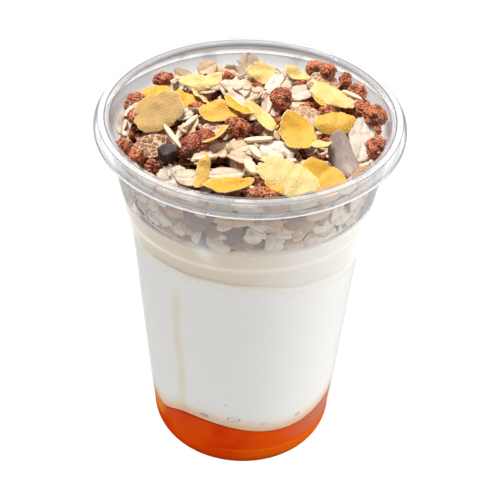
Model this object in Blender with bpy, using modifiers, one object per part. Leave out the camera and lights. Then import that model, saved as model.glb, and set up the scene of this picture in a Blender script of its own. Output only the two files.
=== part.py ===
"""A clear plastic cup of layered yogurt with a clear insert of muesli in its mouth.

From the bottom up: fruit syrup, yogurt, an air gap, and a shallow clear insert whose flange
lies on the cup's rolled lip and which holds a heap of muesli. Metres, +Z up, the cup standing
on z = 0 with its axis on the Z axis. The front of the cup faces -Y.
"""
import math
import random

import bmesh
import bpy
from mathutils import Matrix, Vector

MM = 0.001

# Driving dimensions of the cup.
HEIGHT = 120.0 * MM             # standing ring to the top of the insert's flange
RIM_RADIUS = 47.5 * MM          # outer edge of the rolled lip
WALL = 0.6 * MM                 # cup wall, measured across
GAP = 0.3 * MM                  # clearance between touching pieces
STEPS = 48                      # facets round every turned piece

# Outer side of the cup.
HEEL_RADIUS = 12.0 * MM         # rounding between the body and the standing ring
HEEL_WIDTH = 28.6 * MM          # cup radius where the heel meets the body
RING_INNER = 14.2 * MM          # inner edge of the standing ring's flat
RECESS = 3.0 * MM               # how far the base panel is raised inside that ring
BODY_TOP = 72.0 * MM            # the straight body ends here and the wall starts to flare
BODY_SLOPE = 0.104              # widening of the body for each unit of height
SHOULDER = 89.4 * MM            # small stacking step in the wall
SHOULDER_RADIUS = 37.5 * MM     # cup radius just under that step
SHOULDER_STEP = 0.4 * MM
FLARE_SLOPE = 0.216             # widening between the shoulder and the lip
LIP_BEAD = 1.4 * MM             # radius of the rolled lip's section
LIP_CENTRE = 117.6 * MM         # height of that section's centre

# The insert.
FLANGE = 0.7 * MM               # flange thickness
FLANGE_RADIUS = 46.2 * MM       # its outer edge, a little inside the lip's
FLANGE_GROOVE = 44.1 * MM       # radius of the fine groove in its top
INSERT_WALL = 0.5 * MM
INSERT_MOUTH = 42.6 * MM        # inner radius at the flange
INSERT_FOOT = 36.8 * MM         # inner radius above the floor's rounding
INSERT_DEPTH = 25.6 * MM        # flange top to the upper face of the floor
INSERT_CORNER = 2.6 * MM        # rounding between the floor and the wall
MOUTH_EDGE = 0.3 * MM           # softening of the mouth's edge, across
MOUTH_FALL = 0.8 * MM           # and down

# Levels of what the cup holds, measured on the wall. Directions round the cup are in degrees
# from its front, positive to the right.
SYRUP_TOP = 20.2 * MM
SYRUP_WAVE = 1.2 * MM           # height of the four waves in the syrup's top
SYRUP_WAVE_AT = -22.0           # direction of one crest
SYRUP_DIP = 1.6 * MM            # depth of the one dip
SYRUP_DIP_AT = -54.0            # its direction
SYRUP_DIP_WIDTH = 9.0           # and its half width, in degrees
YOGURT_TOP = 83.5 * MM
YOGURT_SLUMP = 0.19             # fall of the yogurt's top towards the right
YOGURT_BEND = 6.0 * MM          # how softly the level left part bends into that fall
FILL_RINGS = (0.0, 0.45, 0.8, 1.0)  # shares of the radius where a filling's faces are split

# The heap of muesli.
HEAP_EDGE = HEIGHT - 4.0 * MM   # height of the heap at the wall
HEAP_CROWN = HEIGHT             # and at its middle
CORE_DROP = 2.0 * MM            # how far the solid core stays under that surface
CORE_INSET = 1.0 * MM           # and inside the insert's wall
BITE = 0.5 * MM                 # how deep a loose piece's lowest corner sinks into the core
FLAKE = 1.0 * MM                # thickness of a flake
OAT = 0.8 * MM                  # thickness of a rolled oat
FLAKE_CURL = 1.4 * MM           # how far a flake's ends bend up
OAT_CURL = 0.5 * MM
WALL_ROWS = ((7.4 * MM, 15), (16.0 * MM, 16))  # flakes on the wall: height, number in the row
WALL_LEAN = 74.0                # their lean from flat, in degrees


def clear_scene():
    for thing in list(bpy.data.objects):
        bpy.data.objects.remove(thing, do_unlink=True)


def collection(name):
    made = bpy.data.collections.new(name)
    bpy.context.scene.collection.children.link(made)
    return made


def material(name, colour, roughness, alpha=1.0):
    made = bpy.data.materials.new(name)
    made.use_nodes = True
    shader = made.node_tree.nodes["Principled BSDF"]
    shader.inputs["Base Color"].default_value = (*colour, 1.0)
    shader.inputs["Roughness"].default_value = roughness
    shader.inputs["Alpha"].default_value = alpha
    made.diffuse_color = (*colour, alpha)
    return made


def evaluated_mesh(thing):
    graph = bpy.context.evaluated_depsgraph_get()
    return bpy.data.meshes.new_from_object(thing.evaluated_get(graph))


def turned(name, profile, finish, group):
    """Turn a profile of (radius, height) pairs about the Z axis; its outer side runs downwards."""
    mesh = bpy.data.meshes.new(name)
    edges = [(i, i + 1) for i in range(len(profile) - 1)]
    mesh.from_pydata([(radius, 0.0, height) for radius, height in profile], edges, [])
    mesh.materials.append(finish)
    made = bpy.data.objects.new(name, mesh)
    group.objects.link(made)
    screw = made.modifiers.new("turn", "SCREW")
    screw.steps = STEPS
    screw.render_steps = STEPS
    screw.use_merge_vertices = True
    screw.merge_threshold = 0.01 * MM
    screw.use_smooth_shade = True
    return made


def arc(centre, radius, start, end, segments):
    """Points on an arc in the profile plane, angles in degrees from the radial direction."""
    points = []
    for i in range(segments + 1):
        angle = math.radians(start + (end - start) * i / segments)
        points.append((centre[0] + radius * math.cos(angle), centre[1] + radius * math.sin(angle)))
    return points


# ---- the cup's wall ----

def body_radius(height):
    """Outer radius of the straight body."""
    return HEEL_WIDTH + BODY_SLOPE * (height - HEEL_RADIUS)


def flare_radius(height):
    """Outer radius between the shoulder step and the lip."""
    return SHOULDER_RADIUS + SHOULDER_STEP + FLARE_SLOPE * (height - SHOULDER)


def blend_radius(height):
    """Outer radius where the body bends out to the shoulder: a quadratic that starts on the
    body's own line and ends at the shoulder's radius."""
    share = (height - BODY_TOP) / (SHOULDER - BODY_TOP)
    rise = SHOULDER_RADIUS - body_radius(SHOULDER)
    return body_radius(height) + rise * share * share


def wall_radius(height):
    """Outer radius of the cup at a height above its heel."""
    if height <= BODY_TOP:
        return body_radius(height)
    if height <= SHOULDER:
        return blend_radius(height)
    return flare_radius(height)


def inner_radius(height):
    """Inner radius of the cup, down to the inside of its rounded heel."""
    if height >= HEEL_RADIUS:
        return wall_radius(height) - WALL
    drop = HEEL_RADIUS - height
    inside = HEEL_RADIUS - WALL
    return HEEL_WIDTH - HEEL_RADIUS + math.sqrt(max(inside * inside - drop * drop, 0.0))


def cup_profile():
    heel = (HEEL_WIDTH - HEEL_RADIUS, HEEL_RADIUS)
    lip = (RIM_RADIUS - LIP_BEAD, LIP_CENTRE)
    blend = [BODY_TOP + (SHOULDER - BODY_TOP) * share for share in (0.0, 0.35, 0.6, 0.8, 1.0)]
    lip_foot = LIP_CENTRE - LIP_BEAD
    inside = [(0.0, RECESS + WALL), (RING_INNER - 1.2 * MM, RECESS + WALL), (RING_INNER + 0.6 * MM, WALL)]
    inside += arc(heel, HEEL_RADIUS - WALL, -90.0, 0.0, 4)
    inside += [(wall_radius(height) - WALL, height) for height in blend[::2]]
    inside.append((flare_radius(lip_foot) - WALL, lip_foot))
    inside.append((flare_radius(lip_foot), LIP_CENTRE + 0.3 * LIP_BEAD))
    inside.append((lip[0] - 1.3 * LIP_BEAD, LIP_CENTRE + 0.85 * LIP_BEAD))
    outside = arc(lip, LIP_BEAD, 115.0, -115.0, 7)
    outside.append((flare_radius(lip_foot), lip_foot))
    outside.append((flare_radius(SHOULDER + SHOULDER_STEP), SHOULDER + SHOULDER_STEP))
    outside += [(wall_radius(height), height) for height in reversed(blend)]
    outside += arc(heel, HEEL_RADIUS, 0.0, -90.0, 5)
    outside += [(RING_INNER, 0.0), (RING_INNER - 1.2 * MM, RECESS), (0.0, RECESS)]
    return inside + outside


def insert_profile():
    floor = HEIGHT - INSERT_DEPTH
    foot = (INSERT_FOOT - INSERT_CORNER, floor + INSERT_CORNER)
    groove = 0.25 * MM
    inside = [(0.0, floor)]
    inside += arc(foot, INSERT_CORNER, -90.0, 0.0, 3)
    inside += [(INSERT_MOUTH - MOUTH_EDGE, HEIGHT - MOUTH_FALL), (INSERT_MOUTH + MOUTH_EDGE, HEIGHT)]
    outside = [(FLANGE_GROOVE - groove, HEIGHT), (FLANGE_GROOVE, HEIGHT - groove)]
    outside += [(FLANGE_GROOVE + groove, HEIGHT), (FLANGE_RADIUS - 0.5 * FLANGE, HEIGHT)]
    outside += [(FLANGE_RADIUS, HEIGHT - 0.5 * FLANGE), (FLANGE_RADIUS - 0.5 * FLANGE, HEIGHT - FLANGE)]
    outside.append((INSERT_MOUTH + MOUTH_FALL, HEIGHT - FLANGE))
    outside += arc(foot, INSERT_CORNER + INSERT_WALL, 0.0, -90.0, 3)
    outside.append((0.0, floor - INSERT_WALL))
    return inside + outside


def insert_radius(height):
    """Inner radius of the insert at a height, its floor's rounding included."""
    floor = HEIGHT - INSERT_DEPTH
    above = height - floor - INSERT_CORNER
    if above < 0.0:
        flat = INSERT_FOOT - INSERT_CORNER
        return flat + math.sqrt(max(INSERT_CORNER ** 2 - above * above, 0.0))
    narrow = INSERT_MOUTH - MOUTH_EDGE
    slope = (narrow - INSERT_FOOT) / (INSERT_DEPTH - MOUTH_FALL - INSERT_CORNER)
    return min(INSERT_FOOT + slope * above, narrow)


# ---- syrup and yogurt ----

def syrup_level(x, y):
    """Top of the syrup: four shallow waves round the cup, which die out towards its axis, and
    one dip at the front left."""
    turn = math.degrees(math.atan2(x, -y))
    reach = math.hypot(x, y) / HEEL_WIDTH
    waves = SYRUP_WAVE * math.cos(4.0 * math.radians(turn - SYRUP_WAVE_AT))
    dip = SYRUP_DIP * math.exp(-((turn - SYRUP_DIP_AT) / SYRUP_DIP_WIDTH) ** 2)
    return SYRUP_TOP + (waves - dip) * min(reach, 1.0) ** 2


def yogurt_level(x):
    """Top of the yogurt: level on the left and slumping to the right."""
    return YOGURT_TOP - 0.5 * YOGURT_SLUMP * (math.hypot(x, YOGURT_BEND) + x)


def reshaped(guide, name, move, group):
    """Replaces a turned guide with a mesh whose every vertex has been moved by a function."""
    mesh = evaluated_mesh(guide)
    bpy.data.objects.remove(guide, do_unlink=True)
    mesh.name = name
    for vertex in mesh.vertices:
        vertex.co = move(vertex.co)
    made = bpy.data.objects.new(name, mesh)
    group.objects.link(made)
    return made


def on_wall(point, share, height):
    """The point at a height, in the same direction from the axis, whose distance from the axis
    is a share of the free radius there."""
    reach = share * (inner_radius(height) - GAP)
    turn = math.atan2(point.y, point.x)
    return Vector((reach * math.cos(turn), reach * math.sin(turn), height))


def build_syrup(finish, group):
    """The syrup fills the heel and the trough of the standing ring, over the raised panel."""
    heel = (HEEL_WIDTH - HEEL_RADIUS, HEEL_RADIUS)
    full = HEEL_WIDTH - WALL - GAP
    clear = WALL + GAP
    profile = [(share * full, SYRUP_TOP) for share in FILL_RINGS]
    profile += arc(heel, HEEL_RADIUS - clear, 0.0, -90.0, 4)
    profile += [(RING_INNER + 0.8 * MM, clear), (RING_INNER - 1.0 * MM, RECESS + clear)]
    profile.append((0.0, RECESS + clear))

    def move(point):
        share = math.hypot(point.x, point.y) / full
        if point.z < SYRUP_TOP - GAP:
            return point
        return on_wall(point, share, syrup_level(point.x, point.y))

    return reshaped(turned("syrup_guide", profile, finish, group), "syrup", move, group)


def build_yogurt(finish, group):
    """The yogurt, between the syrup and its own slumped top. The guide is a drum of unit height
    and radius: heights become shares of the way from the syrup's top to the yogurt's."""
    rings = 5
    profile = [(share, 1.0) for share in FILL_RINGS]
    profile += [(1.0, 1.0 - i / rings) for i in range(1, rings)]
    profile += [(share, 0.0) for share in reversed(FILL_RINGS)]

    def move(point):
        x = point.x * HEEL_WIDTH
        y = point.y * HEEL_WIDTH
        lowest = syrup_level(x, y) + GAP
        height = lowest + (yogurt_level(x) - lowest) * point.z
        return on_wall(point, math.hypot(point.x, point.y), height)

    return reshaped(turned("yogurt_guide", profile, finish, group), "yogurt", move, group)


# ---- the heap of muesli ----

def heap_height(x, y):
    """Mean surface of the heap: a low dome that ends a little under the rim."""
    share = (x * x + y * y) / (INSERT_MOUTH * INSERT_MOUTH)
    return HEAP_CROWN - (HEAP_CROWN - HEAP_EDGE) * share


def facing(lean, side, spin):
    """Rotation that turns a flat piece: its face leans forwards and to the side by these
    angles, and it is spun about its own normal."""
    normal = Vector((math.tan(math.radians(side)), -math.tan(math.radians(lean)), 1.0)).normalized()
    along = (Vector((1.0, 0.0, 0.0)) - normal * normal.x).normalized()
    across = normal.cross(along)
    frame = Matrix((along, across, normal)).transposed()
    return frame @ Matrix.Rotation(math.radians(spin), 3, "Z")


def plate(length, width, thickness, curl, sides, draw):
    """A flake: an uneven outline, bent along its length, with a raised middle. Both faces are
    split into triangles alike."""
    shape = bmesh.new()
    uneven = [1.0 + draw.uniform(-0.14, 0.12) for _ in range(sides)]
    faces = []
    for lift in (0.5 * thickness, -0.5 * thickness):
        rim = []
        for i in range(sides):
            turn = math.tau * i / sides
            x = 0.5 * length * uneven[i] * math.cos(turn)
            y = 0.5 * width * uneven[i] * math.sin(turn)
            bend = curl * (2.0 * x / length) ** 2
            rim.append(shape.verts.new((x, y, bend + lift)))
        faces.append((rim, shape.verts.new((0.0, 0.0, lift))))
    (upper, upper_mid), (lower, lower_mid) = faces
    for i in range(sides):
        j = (i + 1) % sides
        shape.faces.new((upper[i], upper[j], upper_mid))
        shape.faces.new((lower[j], lower[i], lower_mid))
        shape.faces.new((upper[i], lower[i], lower[j]))
        shape.faces.new((upper[i], lower[j], upper[j]))
    return shape


def nugget(length, width, thickness, draw):
    """A lump: a rough ball of twenty faces, stretched."""
    shape = bmesh.new()
    bmesh.ops.create_icosphere(shape, subdivisions=1, radius=1.0)
    for vertex in shape.verts:
        vertex.co *= draw.uniform(0.88, 1.12)
        vertex.co = (0.5 * length * vertex.co.x, 0.5 * width * vertex.co.y, 0.5 * thickness * vertex.co.z)
    return shape


def block(length, width, thickness, draw):
    """A piece broken from a bar."""
    shape = bmesh.new()
    bmesh.ops.create_cube(shape, size=1.0)
    for vertex in shape.verts:
        vertex.co *= draw.uniform(0.9, 1.05)
        vertex.co = (length * vertex.co.x, width * vertex.co.y, thickness * vertex.co.z)
    return shape


def into_insert(point):
    """Moves a point that would cross the insert back to just inside it."""
    lowest = HEIGHT - INSERT_DEPTH + GAP
    height = max(point.z, lowest)
    limit = insert_radius(min(height, HEIGHT)) - GAP
    reach = math.hypot(point.x, point.y)
    shrink = min(1.0, limit / reach) if reach > 0.0 else 1.0
    return Vector((point.x * shrink, point.y * shrink, height))


def lay(shape, turn, place, group, name):
    """Turns and places a piece, keeps it inside the insert and puts it in the collection."""
    for vertex in shape.verts:
        vertex.co = into_insert(turn @ vertex.co + place)
    mesh = bpy.data.meshes.new(name)
    shape.to_mesh(mesh)
    shape.free()
    group.objects.link(bpy.data.objects.new(name, mesh))


def settled(shape, turn, x, y, bite):
    """The place over (x, y) to which a turned piece sinks: its lowest corner is then a bite
    below the core's surface."""
    clearances = []
    for vertex in shape.verts:
        point = turn @ vertex.co
        core = heap_height(x + point.x, y + point.y) - CORE_DROP
        clearances.append(point.z - core)
    return Vector((x, y, -min(clearances) - bite))


# The pieces that stand out on the heap: place across the cup and towards its back, length and
# width in millimetres, then spin, lean and side in degrees.
CORN_FLAKES = (
    (-28, 3, 16, 13, 15, 20, -6), (11, -28, 17, 14, 5, 22, 4),
    (23, -23, 14, 14, -40, 18, 10), (26, -1, 13, 12, 20, 14, 8),
    (16, -8, 13, 12, -60, 12, 6), (25, 13, 15, 9, -32, 10, 4),
    (3, -1, 15, 7, -56, 12, 12), (-4, 3, 14, 6, -50, -20, -20),
    (-11, 1, 9, 9, 0, 12, 0), (-20, 14, 11, 7, -30, 10, 12),
    (-29, 18, 9, 7, 0, 10, -8), (3, 28, 11, 9, -20, 22, 8),
    (14, 25, 8, 6, -30, 10, 10), (-14, -29, 12, 8, 60, 30, 40),
    (-10, -14, 11, 6, 45, -20, -25), (-4, -30, 14, 7, -4, -35, 0),
    (-3, -33, 15, 8, 20, -20, 0), (12, -33, 12, 8, -12, 30, 10),
    (-8, -28, 9, 6, 10, -10, 5),
)
OAT_FLAKES = (
    (9, -16, 11, 9, -35, 20, 4), (-23, -27, 10, 9, 0, 8, -6),
    (-17, -23, 11, 8, 10, 18, 10), (-9, -17, 9, 6, 25, 14, 0),
    (-3, -16, 9, 6, 25, 10, 10), (-7, -23, 12, 6, 5, 14, 0),
    (-3, 21, 9, 8, 0, 24, 0), (2, 14, 9, 7, 20, 18, 0),
    (-6, 8, 11, 5, -50, 16, 10), (5, 9, 9, 4, 80, 18, 14),
    (11, 25, 9, 8, 40, 24, 0), (24, 29, 9, 8, 0, 20, 12),
    (32, -5, 14, 7, 78, 26, 22), (-37, 7, 9, 5, 80, 20, -40),
    (-33, 10, 8, 5, 50, 14, -14), (-25, 21, 9, 7, 10, 24, 0),
    (-21, 28, 8, 6, -30, 30, 10), (-2, 36, 6, 6, 80, 50, 0),
    (-18, -8, 10, 4, 70, 14, -14), (-19, 2, 6, 5, 20, 10, 0),
    (-14, 30, 6, 5, 0, 20, 0), (-8, 28, 7, 4, -10, 16, 0),
    (20, -30, 8, 6, 60, 24, 10), (27, -13, 13, 6, -62, 30, 20),
    (-30, -12, 11, 8, 25, 22, -8), (17, 4, 10, 8, -10, 18, 0),
    (22, 23, 11, 8, -5, 18, 6), (2, -24, 6, 3, -55, 30, 0),
)
CLUSTERS = (
    (-35, 16, 7, 6, 5, 20), (-28, 25, 6, 4, 4, 30), (10, 8, 8, 6, 6, 60),
    (21, 32, 7, 5, 5, -10), (28, 27, 4, 4, 6, 0), (32, 22, 6, 5, 5, 0),
    (33, 12, 6, 5, 5, -20), (38, 5, 6, 7, 6, -30), (38, -8, 6, 8, 5, 10),
    (-16, -15, 12, 6, 6, 42), (-4, -8, 7, 6, 6, 20), (-28, -20, 6, 5, 5, 0),
    (3, -35, 11, 5, 5, 0), (-35, 3, 6, 6, 5, 0), (-37, -7, 5, 5, 5, 0),
    (33, -19, 6, 3, 3, 30), (-33, -16, 6, 5, 4, -40), (-16, 6, 5, 4, 4, 10),
)
CHOCOLATE = (-23, -18, 6, 6, 4.5, 12)


def heap_core(finish, group):
    """The solid middle of the heap: it stands on the insert's floor, narrower and lower than
    the loose pieces that cover it."""
    floor = HEIGHT - INSERT_DEPTH + GAP
    profile = [(0.0, HEAP_CROWN - CORE_DROP)]
    for share in (0.4, 0.7, 0.9):
        reach = share * INSERT_MOUTH
        profile.append((reach, heap_height(reach, 0.0) - CORE_DROP))
    brow = HEAP_EDGE - CORE_DROP - 1.0 * MM
    profile.append((insert_radius(brow) - CORE_INSET, brow))
    profile.append((INSERT_FOOT - CORE_INSET, floor + INSERT_CORNER))
    profile += [(INSERT_FOOT - INSERT_CORNER - 0.5 * MM, floor), (0.0, floor)]
    return turned("muesli", profile, finish, group)


def named_pieces(draw, group):
    """The pieces of the lists, each settled on the core at its place."""
    kinds = ((CORN_FLAKES, FLAKE, FLAKE_CURL, 8, "corn"), (OAT_FLAKES, OAT, OAT_CURL, 7, "oat"))
    for places, thickness, curl, sides, word in kinds:
        for i, (x, y, length, width, spin, lean, side) in enumerate(places):
            shape = plate(length * MM, width * MM, thickness, curl, sides, draw)
            turn = facing(lean, side, spin)
            lay(shape, turn, settled(shape, turn, x * MM, y * MM, BITE), group, f"{word}_{i}")
    for i, (x, y, length, width, thick, spin) in enumerate(CLUSTERS):
        shape = nugget(length * MM, width * MM, thick * MM, draw)
        turn = facing(0.0, 0.0, spin)
        lay(shape, turn, settled(shape, turn, x * MM, y * MM, 2.0 * BITE), group, f"cluster_{i}")
    x, y, length, width, thick, spin = CHOCOLATE
    shape = block(length * MM, width * MM, thick * MM, draw)
    turn = facing(16.0, -10.0, spin)
    lay(shape, turn, settled(shape, turn, x * MM, y * MM, 2.0 * BITE), group, "chocolate")


def wall_pieces(draw, group):
    """Flakes that stand against the insert's wall, in two rows of alternating places."""
    for row, (above, count) in enumerate(WALL_ROWS):
        for i in range(count):
            turn = math.tau * (i + 0.5 * row + draw.uniform(-0.2, 0.2)) / count
            height = HEIGHT - INSERT_DEPTH + above + draw.uniform(-1.6, 1.6) * MM
            reach = insert_radius(height) - GAP - 0.8 * MM
            length = draw.uniform(9.0, 13.0) * MM
            shape = plate(length, length * draw.uniform(0.6, 0.85), FLAKE, 0.0, 7, draw)
            outward = Matrix.Rotation(turn, 3, "Z") @ Matrix.Rotation(math.radians(WALL_LEAN), 3, "Y")
            pose = outward @ Matrix.Rotation(draw.uniform(0.0, math.pi), 3, "Z")
            spot = Vector((reach * math.cos(turn), reach * math.sin(turn), height))
            lay(shape, pose, spot, group, f"wall_{row}_{i}")


def largest_body(mesh):
    """Keeps the largest closed body of a mesh: loose scraps and sealed hollows go."""
    shape = bmesh.new()
    shape.from_mesh(mesh)
    bmesh.ops.remove_doubles(shape, verts=shape.verts, dist=0.002 * MM)
    bmesh.ops.triangulate(shape, faces=shape.faces)
    left = set(shape.faces)
    bodies = []
    while left:
        body = {left.pop()}
        edge = list(body)
        while edge:
            face = edge.pop()
            near = {other for side in face.edges for other in side.link_faces} & left
            left -= near
            body |= near
            edge.extend(near)
        bodies.append(body)
    keep = max(bodies, key=len)
    spare = [face for body in bodies if body is not keep for face in body]
    bmesh.ops.delete(shape, geom=spare, context="FACES")
    bmesh.ops.delete(shape, geom=[v for v in shape.verts if not v.link_faces], context="VERTS")
    shape.to_mesh(mesh)
    shape.free()


def build_muesli(finish, group):
    """One Boolean union joins the loose pieces to the core."""
    draw = random.Random(7)
    loose = collection("loose_pieces")
    core = heap_core(finish, group)
    named_pieces(draw, loose)
    wall_pieces(draw, loose)
    union = core.modifiers.new("fuse", "BOOLEAN")
    union.operation = "UNION"
    union.operand_type = "COLLECTION"
    union.collection = loose
    union.solver = "MANIFOLD"
    mesh = evaluated_mesh(core)
    bpy.data.objects.remove(core, do_unlink=True)
    for piece in list(loose.objects):
        bpy.data.objects.remove(piece, do_unlink=True)
    bpy.data.collections.remove(loose)
    largest_body(mesh)
    mesh.name = "muesli"
    mesh.materials.clear()
    mesh.materials.append(finish)
    made = bpy.data.objects.new("muesli", mesh)
    group.objects.link(made)
    return made


def build():
    clear_scene()
    group = collection("yogurt_cup")
    clear = material("clear_plastic", (0.92, 0.93, 0.94), 0.05, 0.3)
    turned("cup", cup_profile(), clear, group)
    turned("insert", insert_profile(), clear, group)
    build_syrup(material("syrup", (0.55, 0.09, 0.01), 0.15), group)
    build_yogurt(material("yogurt", (0.86, 0.84, 0.80), 0.35), group)
    build_muesli(material("muesli", (0.62, 0.42, 0.20), 0.7), group)


build()
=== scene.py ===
import math

import bpy
import mathutils
import numpy as np
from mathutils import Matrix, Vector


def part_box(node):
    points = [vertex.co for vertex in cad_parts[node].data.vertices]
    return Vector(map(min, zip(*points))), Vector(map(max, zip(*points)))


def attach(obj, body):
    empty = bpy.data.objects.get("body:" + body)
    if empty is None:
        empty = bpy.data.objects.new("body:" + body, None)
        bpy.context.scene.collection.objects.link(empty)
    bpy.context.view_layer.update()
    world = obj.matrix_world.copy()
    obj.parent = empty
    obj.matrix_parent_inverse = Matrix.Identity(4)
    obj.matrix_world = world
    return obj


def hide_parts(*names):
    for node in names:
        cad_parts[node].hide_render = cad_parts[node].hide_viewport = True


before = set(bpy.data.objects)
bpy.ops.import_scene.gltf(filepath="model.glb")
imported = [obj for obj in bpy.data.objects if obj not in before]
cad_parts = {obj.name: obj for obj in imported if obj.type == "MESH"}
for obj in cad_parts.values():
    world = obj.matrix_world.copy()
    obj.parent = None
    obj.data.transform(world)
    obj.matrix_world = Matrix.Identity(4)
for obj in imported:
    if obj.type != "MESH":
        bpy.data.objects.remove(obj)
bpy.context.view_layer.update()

# A clear cup of yogurt over fruit syrup, with a clear insert of muesli in its mouth.
# Lengths are in millimetres, and become metres where a mesh is made. The cup's axis is the
# Z axis, it stands on z = 0, and its front faces -Y.

# ---- The cup ----
# The outer cup is one thermoformed piece of clear plastic sheet, drawn down from a rolled lip.
# The wall steps at a stacking shoulder under the lip, tapers to a rounded heel, and the middle
# of the base is pressed up into the cup.

MILLIMETRE = 0.001
CUP_ROUND = 192                 # facets round the cup
RIM_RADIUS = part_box("cup")[1][0] / MILLIMETRE
WALL = 0.6
HEEL_RADIUS = 12.0
HEEL_WIDTH = 28.6
RING_INNER = 14.2
RECESS = 3.0
BODY_TOP = 72.0
BODY_SLOPE = 0.104
SHOULDER = 89.4
SHOULDER_RADIUS = 37.5
SHOULDER_STEP = 0.4
FLARE_SLOPE = 0.216
LIP_BEAD = 1.4
LIP_CENTRE = 116.7
LIP_TALL = 1.8                  # height of the rolled lip over its width
PLASTIC_GREY = (0.76, 0.75, 0.75)
PLASTIC_SHADE = (0.25, 0.24, 0.25)
PLASTIC_BEND = (0.06, 0.06, 0.07)
PLASTIC_SHINE = (0.97, 0.97, 0.97)
# The film's cream is painted light: the yogurt's top in the insert's shade, warmed by light bounced off the
# muesli.
FILM_CREAM = (0.94, 0.83, 0.68)
# Painted light: the film turns this paler colour towards the right, where the side lamp lights it, and along
# the painted reflection.
FILM_LIT = (0.97, 0.94, 0.88)
CUP_HAZE = 0.003                # share of light that one surface of the plastic holds back
SHOULDER_HAZE = 0.05
RIM_HAZE = 0.18                 # of the lip and flange in front
RIM_SHADED_HAZE = 0.50                 # the same at the sides and back, where it is raised as painted shade
EDGE_HAZE = 4.0                 # times the haze, added where the surface is seen edge on
OUTLINE_HAZE = 1.4              # added along the very edge of the cup's outline
BEND_HAZE = 0.42                # added where the sheet bends and throws the light aside
SHINE_HAZE = 0.8                # added where a bend catches the light, as a painted highlight
FILM_HAZE = 0.55                # added by a cream film on the wall under the insert, painted shade and bounced light of the yogurt top behind it
FILM_FADE = 5.0                 # height over which the film grows
FILM_FOOT = 0.8                 # share of it at the level of the yogurt's top
FILM_HIGH = 96.9                # height of its upper edge
YOGURT_TOP = 83.5
YOGURT_SLUMP = 0.19
YOGURT_BEND = 6.0
# A painted reflection: a pale streak slanting up the wall's flare, whitening the film and the plastic.
REFLECTION_AT = -19.5                # directions are in degrees from the front, positive to the right
REFLECTION_WIDTH = 4.2
REFLECTION_SLANT = -0.45             # degrees for each millimetre up
REFLECTION_FOOT = (88.0, 8.0)        # a pair is where a share starts to grow, and over what width
REFLECTION_HEAD = (104.0, -4.0)      # a negative width is counted down
GLINT_AT = -58.0                # direction in which the shoulder catches the light, a painted highlight
GLINT_WIDTH = 11.0
BACK_CLEAR = (165.0, -45.0)     # directions where a tint on the right fades out
BACK_SHADE_FADE = (-30.0, 35.0)       # from front to back, where the rim is painted in shade
HEEL_FADE = (6.0, 10.0)         # heights where haze grows above the heel,
OUTLINE_FADE = (14.0, 8.0)      # along the outline
RIM_FADE = (111.0, 4.0)         # and up to the rim
FLANGE_FADE = (43.8, 0.6)       # radii where it grows on the flange


def arc(centre, radius, start, end, steps):
    """Points on an arc in the plane of radius and height: centre + radius * (cos, sin) of an
    angle that runs evenly from start to end, in degrees from the radial direction."""
    turn = np.radians(np.linspace(start, end, steps + 1))
    return np.stack([centre[0] + radius * np.cos(turn), centre[1] + radius * np.sin(turn)], -1)


def line(start, end, steps):
    """Points spaced evenly from start to end, the end left out."""
    share = np.linspace(0.0, 1.0, steps, endpoint=False)[:, None]
    return np.asarray(start) * (1.0 - share) + np.asarray(end) * share


def ramped(value, start, width):
    """Share that goes in a straight line from 0 at the start to 1 a width further on."""
    return np.clip((value - start) / width, 0.0, 1.0)


def bell(value, place, width):
    """Bell-shaped share: e to the power of minus the square of the distance to a place, in
    widths."""
    return np.exp(-((value - place) / width) ** 2)


def wall_radius(height):
    """Outer radius of the cup above its heel: a cone up to BODY_TOP, then the same cone plus a
    term that grows with the square of the height up to the shoulder, then a steeper cone."""
    cone = HEEL_WIDTH + BODY_SLOPE * (height - HEEL_RADIUS)
    share = ramped(height, BODY_TOP, SHOULDER - BODY_TOP)
    rise = SHOULDER_RADIUS - HEEL_WIDTH - BODY_SLOPE * (SHOULDER - HEEL_RADIUS)
    flare = SHOULDER_RADIUS + FLARE_SLOPE * (height - SHOULDER)
    step = SHOULDER_STEP * ramped(height, SHOULDER, SHOULDER_STEP)
    return np.where(height <= SHOULDER, cone + rise * share ** 2, flare + step)


def inner_radius(height):
    """Inner radius of the cup, its rounded heel included."""
    drop = np.clip(HEEL_RADIUS - height, 0.0, HEEL_RADIUS - WALL)
    heel = HEEL_WIDTH - HEEL_RADIUS + np.sqrt((HEEL_RADIUS - WALL) ** 2 - drop ** 2)
    return np.where(height >= HEEL_RADIUS, wall_radius(height) - WALL, heel)


def revolved(profile, turns):
    """Grid of a profile of (radius, height) turned about the Z axis: each ring of the grid is
    (radius cos t, radius sin t, height) for angles t all the way round."""
    turn = np.linspace(0.0, 2.0 * np.pi, turns, endpoint=False)
    radius, height = profile[:, 0, None], profile[:, 1, None]
    return np.stack([radius * np.cos(turn), radius * np.sin(turn), height + 0.0 * turn], -1)


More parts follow.
